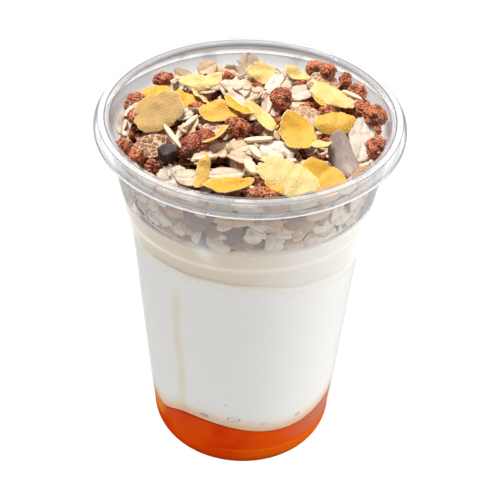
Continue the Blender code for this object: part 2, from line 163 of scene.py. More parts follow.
def skin_object(name, grids, values=None, flat=None):
    """One mesh of closed skins. Each grid, of rings by turns, runs from a pole at the top or
    inside, over the outer edge, to a pole below: the first and last ring shrink to a point.
    Faces join each ring to the next and point outwards. Values are numbers for each grid
    point, kept as attributes, and flat holds each point's place in the piece's own plane."""
    vertices, sides, corners, kept, places = [], [], [], {word: [] for word in values or {}}, []
    start = 0
    for index, grid in enumerate(grids):
        rings, turns = grid.shape[:2]
        middle = (rings - 2) * turns
        pick = lambda data: np.concatenate([data[0, :1], data[1:-1].reshape(middle, -1), data[-1, :1]])
        vertices.append(pick(grid))
        for word in kept:
            kept[word].append(pick(values[word][index][..., None])[:, 0])
        if flat is not None:
            places.append(pick(flat[index]))
        here = 1 + np.arange(middle).reshape(rings - 2, turns)
        beside = np.roll(here, -1, 1)
        quads = np.stack([here[:-1], here[1:], beside[1:], beside[:-1]], -1).reshape(-1, 4)
        top = np.stack([0 * here[0], here[0], beside[0]], -1)
        foot = np.stack([0 * here[0] + middle + 1, beside[-1], here[-1]], -1)
        corners += [(quads + start).ravel(), (top + start).ravel(), (foot + start).ravel()]
        sides += [np.full(len(quads), 4), np.full(2 * turns, 3)]
        start += middle + 2
    points, total, index = np.concatenate(vertices), np.concatenate(sides), np.concatenate(corners)
    mesh = bpy.data.meshes.new(name)
    mesh.vertices.add(len(points))
    mesh.vertices.foreach_set("co", (points * MILLIMETRE).astype(np.float32).ravel())
    mesh.loops.add(len(index))
    mesh.loops.foreach_set("vertex_index", index.astype(np.int32))
    mesh.polygons.add(len(total))
    mesh.polygons.foreach_set("loop_start", np.concatenate([[0], np.cumsum(total)[:-1]]).astype(np.int32))
    mesh.polygons.foreach_set("use_smooth", np.ones(len(total), bool))
    for word, parts in kept.items():
        layer = mesh.attributes.new(word, "FLOAT", "POINT")
        layer.data.foreach_set("value", np.concatenate(parts).astype(np.float32))
    if flat is not None:
        layer = mesh.uv_layers.new(name="flat")
        layer.data.foreach_set("uv", np.concatenate(places)[index].astype(np.float32).ravel())
    mesh.update(calc_edges=True)
    made = bpy.data.objects.new(name, mesh)
    bpy.context.scene.collection.objects.link(made)
    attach(made, "root")
    return made


def principled(name, **settings):
    """A material of one Principled shader, its sockets set by their names with spaces for
    underlines, and its node tree."""
    made = bpy.data.materials.new(name)
    made.use_nodes = True
    shader = made.node_tree.nodes["Principled BSDF"]
    for word, value in settings.items():
        shader.inputs[word.replace("_", " ")].default_value = value
    return made, made.node_tree, shader


def node(tree, kind, **settings):
    """A new node of a kind, with its inputs set by name, or its own properties where it has
    no such input."""
    made = tree.nodes.new(kind)
    for word, value in settings.items():
        socket = made.inputs.get(word.replace("_", " "))
        if socket is None:
            setattr(made, word, value)
        elif isinstance(value, bpy.types.NodeSocket):
            tree.links.new(value, socket)
        else:
            socket.default_value = value
    return made


def feed(tree, socket, value):
    """Links a socket to another, or sets it to a number or colour."""
    if isinstance(value, bpy.types.NodeSocket):
        tree.links.new(value, socket)
    else:
        socket.default_value = (*value, 1.0) if isinstance(value, tuple) and len(value) == 3 else value


def effect_group(name, inputs, outputs):
    """An empty node group with named inputs and outputs, each given with its kind of socket."""
    group = bpy.data.node_groups.new(name, "ShaderNodeTree")
    for words, way in ((inputs, "INPUT"), (outputs, "OUTPUT")):
        for word, kind in words.items():
            group.interface.new_socket(word, in_out=way, socket_type="NodeSocket" + kind)
    return group, group.nodes.new("NodeGroupInput").outputs, group.nodes.new("NodeGroupOutput").inputs


# Effect: the second colour grows in as a value goes from Start to End, up to Amount.
grade_group, given, put = effect_group(
    "grade by value", {"Value": "Float", "First": "Color", "Second": "Color", "Start": "Float",
                       "End": "Float", "Amount": "Float"}, {"Color": "Color"})
ramp = node(grade_group, "ShaderNodeMapRange", interpolation_type="SMOOTHSTEP", Value=given["Value"])
grade_group.links.new(given["Start"], ramp.inputs["From Min"])
grade_group.links.new(given["End"], ramp.inputs["From Max"])
grade_group.links.new(given["Amount"], ramp.inputs["To Max"])
mix = node(grade_group, "ShaderNodeMix", data_type="RGBA", Factor=ramp.outputs["Result"])
grade_group.links.new(given["First"], mix.inputs[6])
grade_group.links.new(given["Second"], mix.inputs[7])
grade_group.links.new(mix.outputs[2], put["Color"])

# Effect: the same over a noise of a given size, which is also put out as a height.
mottle_group, given, put = effect_group(
    "mottle", {"Place": "Vector", "First": "Color", "Second": "Color", "Scale": "Float", "Start": "Float",
               "End": "Float", "Amount": "Float"}, {"Color": "Color", "Height": "Float"})
speckle = node(mottle_group, "ShaderNodeTexNoise", Vector=given["Place"], Scale=given["Scale"], Detail=4.0)
grade = node(mottle_group, "ShaderNodeGroup", node_tree=grade_group, Value=speckle.outputs["Fac"])
for word in ("First", "Second", "Start", "End", "Amount"):
    mottle_group.links.new(given[word], grade.inputs[word])
mottle_group.links.new(grade.outputs["Color"], put["Color"])
mottle_group.links.new(speckle.outputs["Fac"], put["Height"])


def graded(tree, value, first, second, start=0.0, end=1.0, amount=1.0):
    """The colour of one "grade by value" group. The value is a socket or the name of one of
    the piece's attributes, and either colour may be a socket."""
    value = attribute(tree, value) if isinstance(value, str) else value
    made = node(tree, "ShaderNodeGroup", node_tree=grade_group)
    for word, given in (("Value", value), ("First", first), ("Second", second)):
        feed(tree, made.inputs[word], given)
    for word, given in (("Start", start), ("End", end), ("Amount", amount)):
        made.inputs[word].default_value = given
    return made.outputs["Color"]


def mottled(tree, place, first, second, scale, start, end, amount=1.0):
    """The colour and the height of one "mottle" group. Either colour may be a socket."""
    made = node(tree, "ShaderNodeGroup", node_tree=mottle_group)
    for word, given in (("Place", place), ("First", first), ("Second", second)):
        feed(tree, made.inputs[word], given)
    for word, given in (("Scale", scale), ("Start", start), ("End", end), ("Amount", amount)):
        made.inputs[word].default_value = given
    return made.outputs["Color"], made.outputs["Height"]


def attribute(tree, word):
    """The value of a piece's own attribute."""
    return node(tree, "ShaderNodeAttribute", attribute_name=word).outputs["Fac"]


def scaled(tree, value, factor, plus=0.0):
    """A value times a factor plus a number. Either may be a socket."""
    made = node(tree, "ShaderNodeMath", operation="MULTIPLY_ADD")
    for socket, given in zip(made.inputs, (value, factor, plus)):
        feed(tree, socket, given)
    return made.outputs[0]


def surfaced(tree, shader, colour, height=None, strength=0.0, distance=0.0):
    """Feeds a colour to the shader, and a height, where there is one, to its normal: a bump of
    a strength, and of a depth in millimetres."""
    tree.links.new(colour, shader.inputs["Base Color"])
    if height is not None:
        bump = node(tree, "ShaderNodeBump", Strength=strength, Distance=distance * MILLIMETRE, Height=height)
        tree.links.new(bump.outputs["Normal"], shader.inputs["Normal"])


def object_place(tree):
    """Place on the piece, in metres."""
    return node(tree, "ShaderNodeTexCoord").outputs["Object"]


def direction(x, y):
    """Direction round the cup in degrees from its front, positive to the right."""
    return np.degrees(np.arctan2(x, -y))


def to_right(turn, start, width):
    """Share that grows to 1 from a start direction over a width to the right, and goes back to
    0 before it comes to the back."""
    return ramped(turn, start, width) * ramped(turn, *BACK_CLEAR)


def back_shade(y):
    """How far the rim is painted in shade: not at all in front, then more in a straight line until just
    behind the axis."""
    return ramped(y, *BACK_SHADE_FADE)


def plastic_haze(radius, y, height):
    """Haze of the plastic: least at the heel, more above the yogurt, most at the lip and on the outer half of
    the flange, and there more towards the back, as painted shade."""
    haze = CUP_HAZE + (SHOULDER_HAZE - CUP_HAZE) * ramped(height, BODY_TOP, SHOULDER - BODY_TOP)
    haze = haze * np.maximum(ramped(height, *HEEL_FADE), 0.1)
    outer = 0.3 + 0.7 * ramped(radius, *FLANGE_FADE)
    rim = RIM_HAZE + (RIM_SHADED_HAZE - RIM_HAZE) * back_shade(y)
    return haze + (rim - SHOULDER_HAZE) * ramped(height, *RIM_FADE) * outer


def yogurt_level(x, y):
    """Top of the yogurt: level on the left, then a plane that falls to the right, joined by a
    hyperbola, with low swirls left by the spoon."""
    swirl = 0.25 * np.sin(0.32 * x + 0.11 * y) * np.cos(0.27 * y - 0.08 * x)
    return YOGURT_TOP - 0.5 * YOGURT_SLUMP * (np.hypot(x, YOGURT_BEND) + x) + swirl


def lines_at(value, marks):
    """The sum of bell-shaped lines, each given by the value that it lies at, width and strength."""
    total = 0.0 * value
    for place, width, strength in marks:
        total = total + strength * bell(value, place, width)
    return total


lip_foot = LIP_CENTRE - LIP_TALL * LIP_BEAD
heel_centre = (HEEL_WIDTH - HEEL_RADIUS, HEEL_RADIUS)
lip_middle = (RIM_RADIUS - LIP_BEAD, LIP_CENTRE)
wall_heights = np.concatenate([np.linspace(HEEL_RADIUS, SHOULDER, 40),
                               np.linspace(SHOULDER + SHOULDER_STEP, lip_foot, 50)])
cup_profile = np.concatenate([
    [(0.0, RECESS + WALL)], line((4.0, RECESS + WALL), (RING_INNER - 1.2, RECESS + WALL), 3),
    [(RING_INNER - 1.2, RECESS + WALL), (RING_INNER - 0.6, RECESS + 0.3), (RING_INNER + 0.2, WALL + 0.5),
     (RING_INNER + 1.0, WALL)],
    arc(heel_centre, HEEL_RADIUS - WALL, -90.0, 0.0, 16)[:-1],
    np.stack([inner_radius(wall_heights), wall_heights], -1),
    [(wall_radius(lip_foot) - 0.3, LIP_CENTRE),
     (lip_middle[0] - 1.3 * LIP_BEAD, LIP_CENTRE + 0.6 * LIP_TALL * LIP_BEAD),
     (lip_middle[0] - 1.0 * LIP_BEAD, LIP_CENTRE + 0.9 * LIP_TALL * LIP_BEAD)],
    arc((lip_middle[0], 0.0), LIP_BEAD, 110.0, -115.0, 24) * [1.0, LIP_TALL] + [0.0, LIP_CENTRE],
    np.stack([wall_radius(wall_heights), wall_heights], -1)[:0:-1],
    arc(heel_centre, HEEL_RADIUS, 0.0, -90.0, 16),
    [(RING_INNER + 0.4, 0.0), (RING_INNER, 0.2), (RING_INNER - 0.8, RECESS - 0.4),
     (RING_INNER - 1.4, RECESS), (6.0, RECESS), (0.0, RECESS)],
])
grid = revolved(cup_profile, CUP_ROUND)
radius, height = np.hypot(grid[..., 0], grid[..., 1]), grid[..., 2]
turn = direction(grid[..., 0], grid[..., 1])
over_yogurt = height - yogurt_level(grid[..., 0], grid[..., 1])
film = np.clip(over_yogurt / FILM_FADE + FILM_FOOT, 0.0, 1.0) * ramped(height, FILM_HIGH, -1.0)
# the painted reflection streak
painted_reflection = bell(turn - REFLECTION_AT, REFLECTION_SLANT * (height - FILM_HIGH), REFLECTION_WIDTH)
painted_reflection = painted_reflection * ramped(height, *REFLECTION_FOOT) * ramped(height, *REFLECTION_HEAD)
bend = lines_at(height, ((SHOULDER, 0.3, 0.15),)) + lines_at(radius, ((RIM_RADIUS, 0.15, 0.5),))
# Painted highlights: a white line along the lip's foot, and two glints on the shoulder at the left.
lip_highlight = lines_at(height, ((lip_foot + 0.25, 0.35, 1.0),)) * (radius > lip_middle[0] - 0.2)
glint = lines_at(height, ((SHOULDER + 0.4, 0.35, 1.0), (SHOULDER - 0.8, 0.25, 0.5)))
glint = glint * bell(turn, GLINT_AT, GLINT_WIDTH)
# pale is painted light, paler to the right plus the painted reflection; shine is painted highlights.
cup = skin_object("cup_wall", [grid], {
    "haze": [plastic_haze(radius, grid[..., 1], height)], "film": [film], "bend": [bend],
    "pale": [to_right(turn, -10.0, 50.0) + painted_reflection], "shine": [lip_highlight + 0.6 * glint + 0.22 * painted_reflection],
    "outline": [ramped(height, *OUTLINE_FADE)],
    "shade": [back_shade(grid[..., 1]) * (height > RIM_FADE[0])]})
clear_plastic, tree, shader = principled("clear plastic", Roughness=0.06, IOR=1.25)
haze, bend, film, shine = (attribute(tree, word) for word in ("haze", "bend", "film", "shine"))
edge = node(tree, "ShaderNodeLayerWeight", Blend=0.3).outputs["Facing"]
edge = scaled(tree, edge, edge)
outline = scaled(tree, attribute(tree, "outline"), OUTLINE_HAZE)
tone, wave = mottled(tree, object_place(tree), PLASTIC_GREY, PLASTIC_BEND, 90.0, 0.6, 0.9, 0.2)
tone = graded(tree, "shade", tone, PLASTIC_SHADE)
cover = scaled(tree, haze, scaled(tree, wave, 0.8, 0.6))
for mask, amount in ((film, FILM_HAZE), (bend, BEND_HAZE), (shine, SHINE_HAZE),
                     (scaled(tree, edge, edge), outline), (edge, scaled(tree, haze, EDGE_HAZE))):
    cover = scaled(tree, mask, amount, cover)
tree.links.new(cover, shader.inputs["Alpha"])
tone = graded(tree, edge, tone, PLASTIC_BEND, 0.15, 0.65, 0.75)
# the film's colour, painted paler where it is lit from the right
cream = graded(tree, "pale", FILM_CREAM, FILM_LIT)
tone = graded(tree, film, tone, cream, 0.0, 0.6)
tone = graded(tree, bend, tone, PLASTIC_BEND)
tone = graded(tree, shine, tone, PLASTIC_SHINE, 0.0, 0.6)
surfaced(tree, shader, tone, wave, 0.3, 0.2)
cup.data.materials.append(clear_plastic)
cup.visible_shadow = cup.visible_diffuse = False
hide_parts("cup")

# ---- The syrup ----
# Fruit syrup poured in first: a wet, amber to orange-red layer that fills the heel and the
# trough round the raised base. Its top is pushed into shallow waves by the yogurt above.

SYRUP_TOP = 21.0
SYRUP_WAVE = 2.0
SYRUP_WAVE_AT = -32.0
SYRUP_DIP = 2.6
SYRUP_DIP_AT = -57.0
SYRUP_DIP_WIDTH = 13.0
GLOW_AT = -68.0                 # direction from which light shines through its left edge, painted as an amber glow
GLOW_WIDTH = 10.0
GLOW_FADE = (11.0, 5.0)
DEEP_FADE = (10.8, -7.5)        # heights where it darkens towards the heel
INTO_WALL = 0.25                # how far a filling reaches into the plastic that it touches
HEEL_LINE = 10.6                # height at which the heel's bend shows a bright line, a painted highlight
SYRUP_RED = (0.76, 0.036, 0.0)
SYRUP_ORANGE = (0.87, 0.10, 0.002)
SYRUP_LIT_AMBER = (0.86, 0.27, 0.01)
SYRUP_MILKY = (0.55, 0.19, 0.10)
SYRUP_DARK = (0.24, 0.018, 0.0)


def syrup_level(x, y):
    """Top of the syrup: three cosine waves round the cup whose height dies out with the square
    of the distance to the axis, less one bell-shaped dip."""
    turn = direction(x, y)
    reach = np.minimum(np.hypot(x, y) / HEEL_WIDTH, 1.0)
    waves = SYRUP_WAVE * np.cos(3.0 * np.radians(turn - SYRUP_WAVE_AT))
    dip = SYRUP_DIP * bell(turn, SYRUP_DIP_AT, SYRUP_DIP_WIDTH)
    return SYRUP_TOP + (waves - dip) * reach ** 2


full = HEEL_WIDTH - WALL + INTO_WALL
syrup_profile = np.concatenate([
    line((0.0, SYRUP_TOP), (full, SYRUP_TOP), 16),
    line((full, SYRUP_TOP), (full, HEEL_RADIUS), 8),
    arc(heel_centre, HEEL_RADIUS - WALL + INTO_WALL, 0.0, -90.0, 16),
    [(RING_INNER + 1.0, WALL - INTO_WALL), (RING_INNER - 0.4, RECESS - 0.1),
     (RING_INNER - 1.4, RECESS + WALL - INTO_WALL), (6.0, RECESS + WALL - INTO_WALL),
     (0.0, RECESS + WALL - INTO_WALL)],
])
grid = revolved(syrup_profile, CUP_ROUND)
level = syrup_level(grid[..., 0], grid[..., 1])
upper = ramped(grid[..., 2], HEEL_RADIUS, SYRUP_TOP - HEEL_RADIUS)
height = np.where(upper > 0.0, HEEL_RADIUS + upper * (level - HEEL_RADIUS), grid[..., 2])
widen = np.where(upper > 0.0, (inner_radius(height) + INTO_WALL) / full, 1.0)
grid = np.stack([grid[..., 0] * widen, grid[..., 1] * widen, height], -1)
turn = direction(grid[..., 0], grid[..., 1])
right = to_right(turn, -30.0, 60.0)
glow = bell(turn, GLOW_AT, GLOW_WIDTH) * ramped(height, *GLOW_FADE)
shine = bell(height, HEEL_LINE, 0.4) * to_right(turn, -25.0, 25.0)
# Painted light: amber where light shines through the left edge and, on the right, below the heel line, and a
# painted highlight along that line.
syrup = skin_object("syrup_layer", [grid], {
    "amber": [0.4 * right * ramped(height, HEEL_LINE, -2.0) + 1.2 * glow + 0.6 * shine],
    "milky": [to_right(turn, 20.0, 40.0) * ramped(height, HEEL_LINE, 3.0)],
    "deep": [ramped(height, *DEEP_FADE)]})
syrup_finish, tree, shader = principled("fruit syrup", Roughness=0.35, IOR=1.0, Subsurface_Weight=0.1,
                                        Subsurface_Radius=(1.0, 0.25, 0.05), Subsurface_Scale=0.002)
body, _ = mottled(tree, object_place(tree), SYRUP_RED, SYRUP_ORANGE, 55.0, 0.35, 0.65, 0.8)
for word, tint, most in (
        ("amber", SYRUP_LIT_AMBER, 1.0), ("milky", SYRUP_MILKY, 0.8), ("deep", SYRUP_DARK, 0.95)):
    body = graded(tree, word, body, tint, amount=most)
surfaced(tree, shader, body)
syrup.data.materials.append(syrup_finish)
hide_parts("syrup")

# ---- The yogurt ----
# Thick white yogurt spooned over the syrup. It touches the wall all round, a peach tint creeps up into it
# from the syrup, and its top has slumped to the right under the air gap. That top is painted cream: the warm
# light that the muesli bounces onto it in the insert's shade.

YOGURT_RINGS = 60
YOGURT_STEPS = 24               # points on its top and on its foot, from the axis to the wall
LEVEL_RADIUS = 33.0             # radius to which its levels are spread
CREAM_DEEP = 4.0                # depth of the cream tint, painted bounced light, under its top
PEACH_REACH = 3.6               # height that the peach tint creeps up
YOGURT_WHITE = (0.93, 0.915, 0.885)
YOGURT_CREAM = (0.92, 0.80, 0.62)
YOGURT_PEACH = (0.82, 0.47, 0.22)
YOGURT_STREAK = (0.80, 0.68, 0.34)
STREAK_AT = -38.0               # direction of the faint streak of syrup on the wall
STREAK_HEAD = (77.0, -6.0)
STREAK_FOOT = (32.0, -12.0)     # heights where it broadens
BUBBLE_BROWN = (0.42, 0.20, 0.10)
BUBBLES = (                     # direction, height, half width, half height, and how brown inside
    (-23.0, 24.6, 1.45, 0.95, 0.85), (-4.0, 25.0, 2.1, 1.0, 0.0), (15.0, 22.8, 0.8, 0.6, 0.0),
    (-9.0, 31.0, 0.4, 0.35, 0.0), (38.0, 23.0, 1.0, 0.6, 0.82), (6.5, 23.4, 0.5, 0.4, 0.0),
)
shares = np.linspace(0.0, 1.0, YOGURT_STEPS)
drum = np.concatenate([
    np.stack([shares, np.ones(YOGURT_STEPS)], -1),
    np.stack([np.ones(YOGURT_RINGS), np.linspace(1.0, 0.0, YOGURT_RINGS + 2)[1:-1]], -1),
    np.stack([shares[::-1], np.zeros(YOGURT_STEPS)], -1),
])
unit = revolved(drum, CUP_ROUND)
spread = LEVEL_RADIUS * unit[..., :2]
low = syrup_level(spread[..., 0], spread[..., 1]) - 0.1
high = yogurt_level(spread[..., 0], spread[..., 1])
height = low + (high - low) * unit[..., 2]
reach = inner_radius(height) + INTO_WALL
grid = np.stack([unit[..., 0] * reach, unit[..., 1] * reach, height], -1)
turn = direction(grid[..., 0], grid[..., 1])
wander = STREAK_AT + 0.8 * np.sin(0.19 * height)
streak = bell(turn, wander, 3.0 + 1.6 * ramped(height, *STREAK_FOOT))
streak = streak * ramped(height, *STREAK_HEAD) * (0.88 + 0.12 * np.sin(0.4 * height))
yogurt = skin_object("yogurt_body", [grid], {
    "peach": [np.exp(-((height - low) / PEACH_REACH) ** 1.5)],
    "cream": [np.clip((height - high) / CREAM_DEEP + 1.0, 0.0, 1.0)], "streak": [streak]})
yogurt_finish, tree, shader = principled(
    "yogurt", Roughness=0.42, IOR=1.40, Subsurface_Weight=0.25, Subsurface_Radius=(1.0, 0.85, 0.7),
    Subsurface_Scale=0.003)
body, cloud = mottled(tree, object_place(tree), YOGURT_WHITE, YOGURT_CREAM, 70.0, 0.5, 0.8, 0.12)
for word, tint, most in (
        ("cream", YOGURT_CREAM, 0.45), ("streak", YOGURT_STREAK, 0.42), ("peach", YOGURT_PEACH, 0.85)):
    body = graded(tree, word, body, tint, amount=most)
surfaced(tree, shader, body, cloud, 0.15, 0.3)
yogurt.data.materials.append(yogurt_finish)
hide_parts("yogurt")

# Air bubbles caught on the wall just over the syrup: flat lenses with a brown rim, and two of
# them brown nearly all over.
turn = np.linspace(0.0, 2.0 * np.pi, 28, endpoint=False)[None, :]
down = np.linspace(0.0, np.pi, 13)[:, None]
bubbles, rims = [], []
for way, height, wide, high, brown in BUBBLES:
    out = inner_radius(height) + INTO_WALL + 0.1 * np.cos(down) + 0.02
    lie = np.radians(way) + wide * np.sin(down) * np.cos(turn) / out
    rise = height + high * np.sin(down) * np.sin(turn)
    bubbles.append(np.stack([out * np.sin(lie), -out * np.cos(lie), rise], -1))
    rims.append(np.maximum(np.sin(down), brown) + 0.0 * turn)
bubble_skins = skin_object("syrup_bubbles", bubbles, {"share": rims})
bubble_finish, tree, shader = principled("bubble skin", Roughness=0.2, IOR=1.2)
body, _ = mottled(tree, object_place(tree), YOGURT_WHITE, YOGURT_PEACH, 700.0, 0.4, 0.8)
body = graded(tree, "share", body, BUBBLE_BROWN, 0.7, 0.95, 0.8)
surfaced(tree, shader, body)
bubble_skins.data.materials.append(bubble_finish)
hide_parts("yogurt")

# ---- The insert ----
# A shallow cup of the same clear sheet hangs by its flange on the rolled lip and holds the
# muesli clear of the yogurt. A fine groove runs round the top of the flange.

HEIGHT = 120.0
FLANGE = 0.7
FLANGE_RADIUS = 46.2
FLANGE_GROOVE = 44.1
INSERT_WALL = 0.5
INSERT_MOUTH = 42.6
INSERT_FOOT = 36.8
INSERT_DEPTH = 26.4
INSERT_CORNER = 1.8
CREASE_SLANT = 0.645            # a faint crease across the back, along a plane tilted this much
CREASE_HEIGHT = 141.7
INSERT_FADE = (96.0, 4.0)       # heights where its haze grows above the floor
MOUTH_FADE = (108.0, 3.0)       # and where its inside is painted greyer below the mouth, as shade and the heap reflected in it
MOUTH_SHADE = 0.35
FLANGE_SHADE = 0.3
insert_floor = HEIGHT - INSERT_DEPTH
insert_foot = (INSERT_FOOT - INSERT_CORNER, insert_floor + INSERT_CORNER)


def insert_radius(height):
    """Inner radius of the insert: a quarter circle at the foot, then a cone up to the mouth."""
    above = height - insert_floor - INSERT_CORNER
    foot = INSERT_FOOT - INSERT_CORNER + np.sqrt(np.clip(INSERT_CORNER ** 2 - above ** 2, 0.0, None))
    slope = (INSERT_MOUTH - 0.3 - INSERT_FOOT) / (INSERT_DEPTH - 0.8 - INSERT_CORNER)
    return np.where(above < 0.0, foot, np.minimum(INSERT_FOOT + slope * above, INSERT_MOUTH - 0.3))


insert_profile = np.concatenate([
    line((0.0, insert_floor), insert_foot - np.array([0.0, INSERT_CORNER]), 8),
    arc(insert_foot, INSERT_CORNER, -90.0, 0.0, 10)[:-1],
    line((INSERT_FOOT, insert_floor + INSERT_CORNER), (INSERT_MOUTH - 0.3, HEIGHT - 1.6), 10),
    [(INSERT_MOUTH - 0.3, HEIGHT - 1.6), (INSERT_MOUTH - 0.15, HEIGHT - 1.0),
     (INSERT_MOUTH + 0.15, HEIGHT - 0.5), (INSERT_MOUTH + 0.6, HEIGHT - 0.15), (INSERT_MOUTH + 1.0, HEIGHT),
     (FLANGE_GROOVE - 0.35, HEIGHT), (FLANGE_GROOVE - 0.15, HEIGHT - 0.15), (FLANGE_GROOVE, HEIGHT - 0.22),
     (FLANGE_GROOVE + 0.15, HEIGHT - 0.15), (FLANGE_GROOVE + 0.35, HEIGHT)],
    arc((FLANGE_RADIUS - 0.5 * FLANGE, HEIGHT - 0.5 * FLANGE), 0.5 * FLANGE, 90.0, -90.0, 8),
    [(INSERT_MOUTH + 0.9, HEIGHT - FLANGE), (INSERT_MOUTH + 0.45, HEIGHT - FLANGE - 0.3)],
    line((INSERT_MOUTH + 0.3, HEIGHT - FLANGE - 0.9),
         (INSERT_FOOT + INSERT_WALL, insert_floor + INSERT_CORNER), 10),
    arc(insert_foot, INSERT_CORNER + INSERT_WALL, 0.0, -90.0, 10),
    [(18.0, insert_floor - INSERT_WALL), (0.0, insert_floor - INSERT_WALL)],
])
grid = revolved(insert_profile, CUP_ROUND)
radius, height = np.hypot(grid[..., 0], grid[..., 1]), grid[..., 2]
bend = (height > HEIGHT - 1.5) * lines_at(
    radius, ((INSERT_MOUTH - 0.1, 0.25, 0.8), (FLANGE_GROOVE, 0.25, 0.9), (FLANGE_RADIUS, 0.2, 0.8)))
slant = height + CREASE_SLANT * grid[..., 1] - CREASE_HEIGHT
bend = bend + 0.6 * bell(slant, 0.0, 0.3) * (np.abs(grid[..., 0] + 3.0) < 20.0) * (grid[..., 1] > 30.0)
# a painted highlight along the insert's foot
foot_glint = lines_at(height, ((insert_floor + INSERT_CORNER, 0.35, 0.45),)) * (radius > INSERT_FOOT)
haze = plastic_haze(radius, grid[..., 1], height) * np.maximum(ramped(height, *INSERT_FADE), 0.2)
shade = np.where(radius < INSERT_MOUTH + 0.2, MOUTH_SHADE * ramped(height, *MOUTH_FADE),
                 FLANGE_SHADE * back_shade(grid[..., 1]))
insert = skin_object("muesli_insert", [grid], {
    "haze": [haze], "bend": [bend], "shine": [foot_glint], "shade": [shade]})
insert.data.materials.append(clear_plastic)
insert.visible_shadow = insert.visible_diffuse = False
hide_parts("insert")

# ---- The muesli's core ----
# The inside of the heap, which only shows in the gaps between the loose pieces, painted nearly black as the
# shade deep in those gaps. It stands on the insert's floor, a little narrower and lower than what covers it.

HEAP_EDGE = HEIGHT - 4.0
HEAP_CROWN = HEIGHT
CORE_DROP = 6.4
CORE_INSET = 1.6
CORE_RINGS = 26                 # rings of its top
CORE_ROUND = 120                # facets round it
CRUMB_SHADE = (0.05, 0.016, 0.007)
CRUMB_LIGHT = (0.22, 0.09, 0.04)


def heap_height(x, y):
    """Mean surface of the heap: a paraboloid, highest on the axis."""
    return HEAP_CROWN - (HEAP_CROWN - HEAP_EDGE) * (x * x + y * y) / INSERT_MOUTH ** 2


def ripple(draw, x, y, z, waves, length):
    """Smooth noise: the mean of sine waves of random direction and phase and of about the given
    wavelength, scaled to about -1 to 1."""
    total = 0.0
    for way in draw.normal(size=(waves, 3)):
        way *= 2.0 * np.pi / (length * np.linalg.norm(way) * draw.uniform(0.7, 1.4))
        total = total + np.sin(way[0] * x + way[1] * y + way[2] * z + draw.uniform(0.0, 2.0 * np.pi))
    return total / math.sqrt(waves)


draw = np.random.default_rng(11)
brow = HEAP_EDGE - CORE_DROP - 1.0
reach = np.linspace(0.0, 0.93 * INSERT_MOUTH, CORE_RINGS)
climb = np.linspace(brow, insert_floor + INSERT_CORNER, 16)
core_profile = np.concatenate([
    np.stack([reach, heap_height(reach, 0.0) - CORE_DROP], -1),
    np.stack([insert_radius(climb) - CORE_INSET, climb], -1),
    [(INSERT_FOOT - INSERT_CORNER - 0.5, insert_floor + 0.3), (15.0, insert_floor + 0.3),
     (0.0, insert_floor + 0.3)],
])
grid = revolved(core_profile, CORE_ROUND)
lumps = 0.5 * ripple(draw, grid[..., 0], grid[..., 1], grid[..., 2], 14, 4.0)
inward = 1.0 - 0.025 * np.abs(ripple(draw, grid[..., 0], grid[..., 1], grid[..., 2], 14, 5.0))
grid[..., :2] *= inward[..., None]
grid[1:CORE_RINGS, :, 2] += lumps[1:CORE_RINGS] - 0.2
core = skin_object("muesli_core", [grid])
core_finish, tree, shader = principled("muesli crumbs", Roughness=0.85)
body, grain = mottled(tree, object_place(tree), CRUMB_SHADE, CRUMB_LIGHT, 700.0, 0.45, 0.7, 1.0)
surfaced(tree, shader, body, grain, 0.8, 0.8)
core.data.materials.append(core_finish)
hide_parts("muesli")

# ---- The bed of the heap ----
# Loose oats, crushed flakes and crumbs of cluster that fill the insert over its core and against
# its wall. They are poured in, so each one lies where it comes to rest on those below.

BED_SPACING = 3.9
BED_LAYERS = ((0.0, 1.0), (0.35, 1.0), (0.55, 1.35))    # share of gaps, and size of the pieces
CELL = 0.5                      # size of a cell of the map of heights that pieces rest on
MAP_REACH = 44.0
HEAP_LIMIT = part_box("muesli")[1][2] / MILLIMETRE - 0.15
BED_MIX = {"oats": 0.56, "corn": 0.12, "clusters": 0.32}
BED_SHADE = {"oats": 0.2, "corn": 0.5, "clusters": 0.0}
WALL_ROWS = ((0.9, 32), (3.2, 25), (8.5, 26), (14.0, 27), (18.5, 27))  # height, number in the row
WALL_LEAN = 74.0
WALL_CLUSTERS = 0.06            # share of clusters in them

map_axis = np.arange(-MAP_REACH, MAP_REACH, CELL)
map_x, map_y = np.meshgrid(map_axis, map_axis, indexing="ij")
heap_top = heap_height(map_x, map_y) - CORE_DROP


def facing(lean, side, spin):
    """Turns of a flat piece as a 3 x 3 array: its normal runs along (tan side, -tan lean, 1),
    so it faces forwards and to the side by those angles, and it is spun about that normal."""
    normal = np.array([math.tan(math.radians(side)), -math.tan(math.radians(lean)), 1.0])
    normal /= np.linalg.norm(normal)
    along = np.array([1.0, 0.0, 0.0]) - normal * normal[0]
    along /= np.linalg.norm(along)
    across = np.cross(normal, along)
    c, s = math.cos(math.radians(spin)), math.sin(math.radians(spin))
    return np.stack([c * along + s * across, c * across - s * along, normal], 1)


def into_insert(points):
    """Points beyond the insert's inside are drawn back to it along their own radius."""
    height = np.maximum(points[..., 2], insert_floor + 0.25)
    limit = insert_radius(np.minimum(height, HEIGHT)) - 0.15
    shrink = np.minimum(1.0, limit / np.maximum(np.hypot(points[..., 0], points[..., 1]), 0.001))
    return np.stack([points[..., 0] * shrink, points[..., 1] * shrink, height], -1)


def settled(points, x, y, bite=0.25, share=0.985):
    """Lets a turned piece down over (x, y) until a share of its points are above the map of
    heights, less a small bite, and raises the map to the piece's own height."""
    column = np.clip(((points[..., 0] + x + MAP_REACH) / CELL).astype(int), 0, len(map_axis) - 1)
    row = np.clip(((points[..., 1] + y + MAP_REACH) / CELL).astype(int), 0, len(map_axis) - 1)
    rest = np.quantile(heap_top[column, row] - points[..., 2], share) - bite
    rest = min(rest, HEAP_LIMIT - points[..., 2].max())
    placed = into_insert(points + np.array([x, y, rest]))
    np.maximum.at(heap_top, (column, row), placed[..., 2])
    return placed


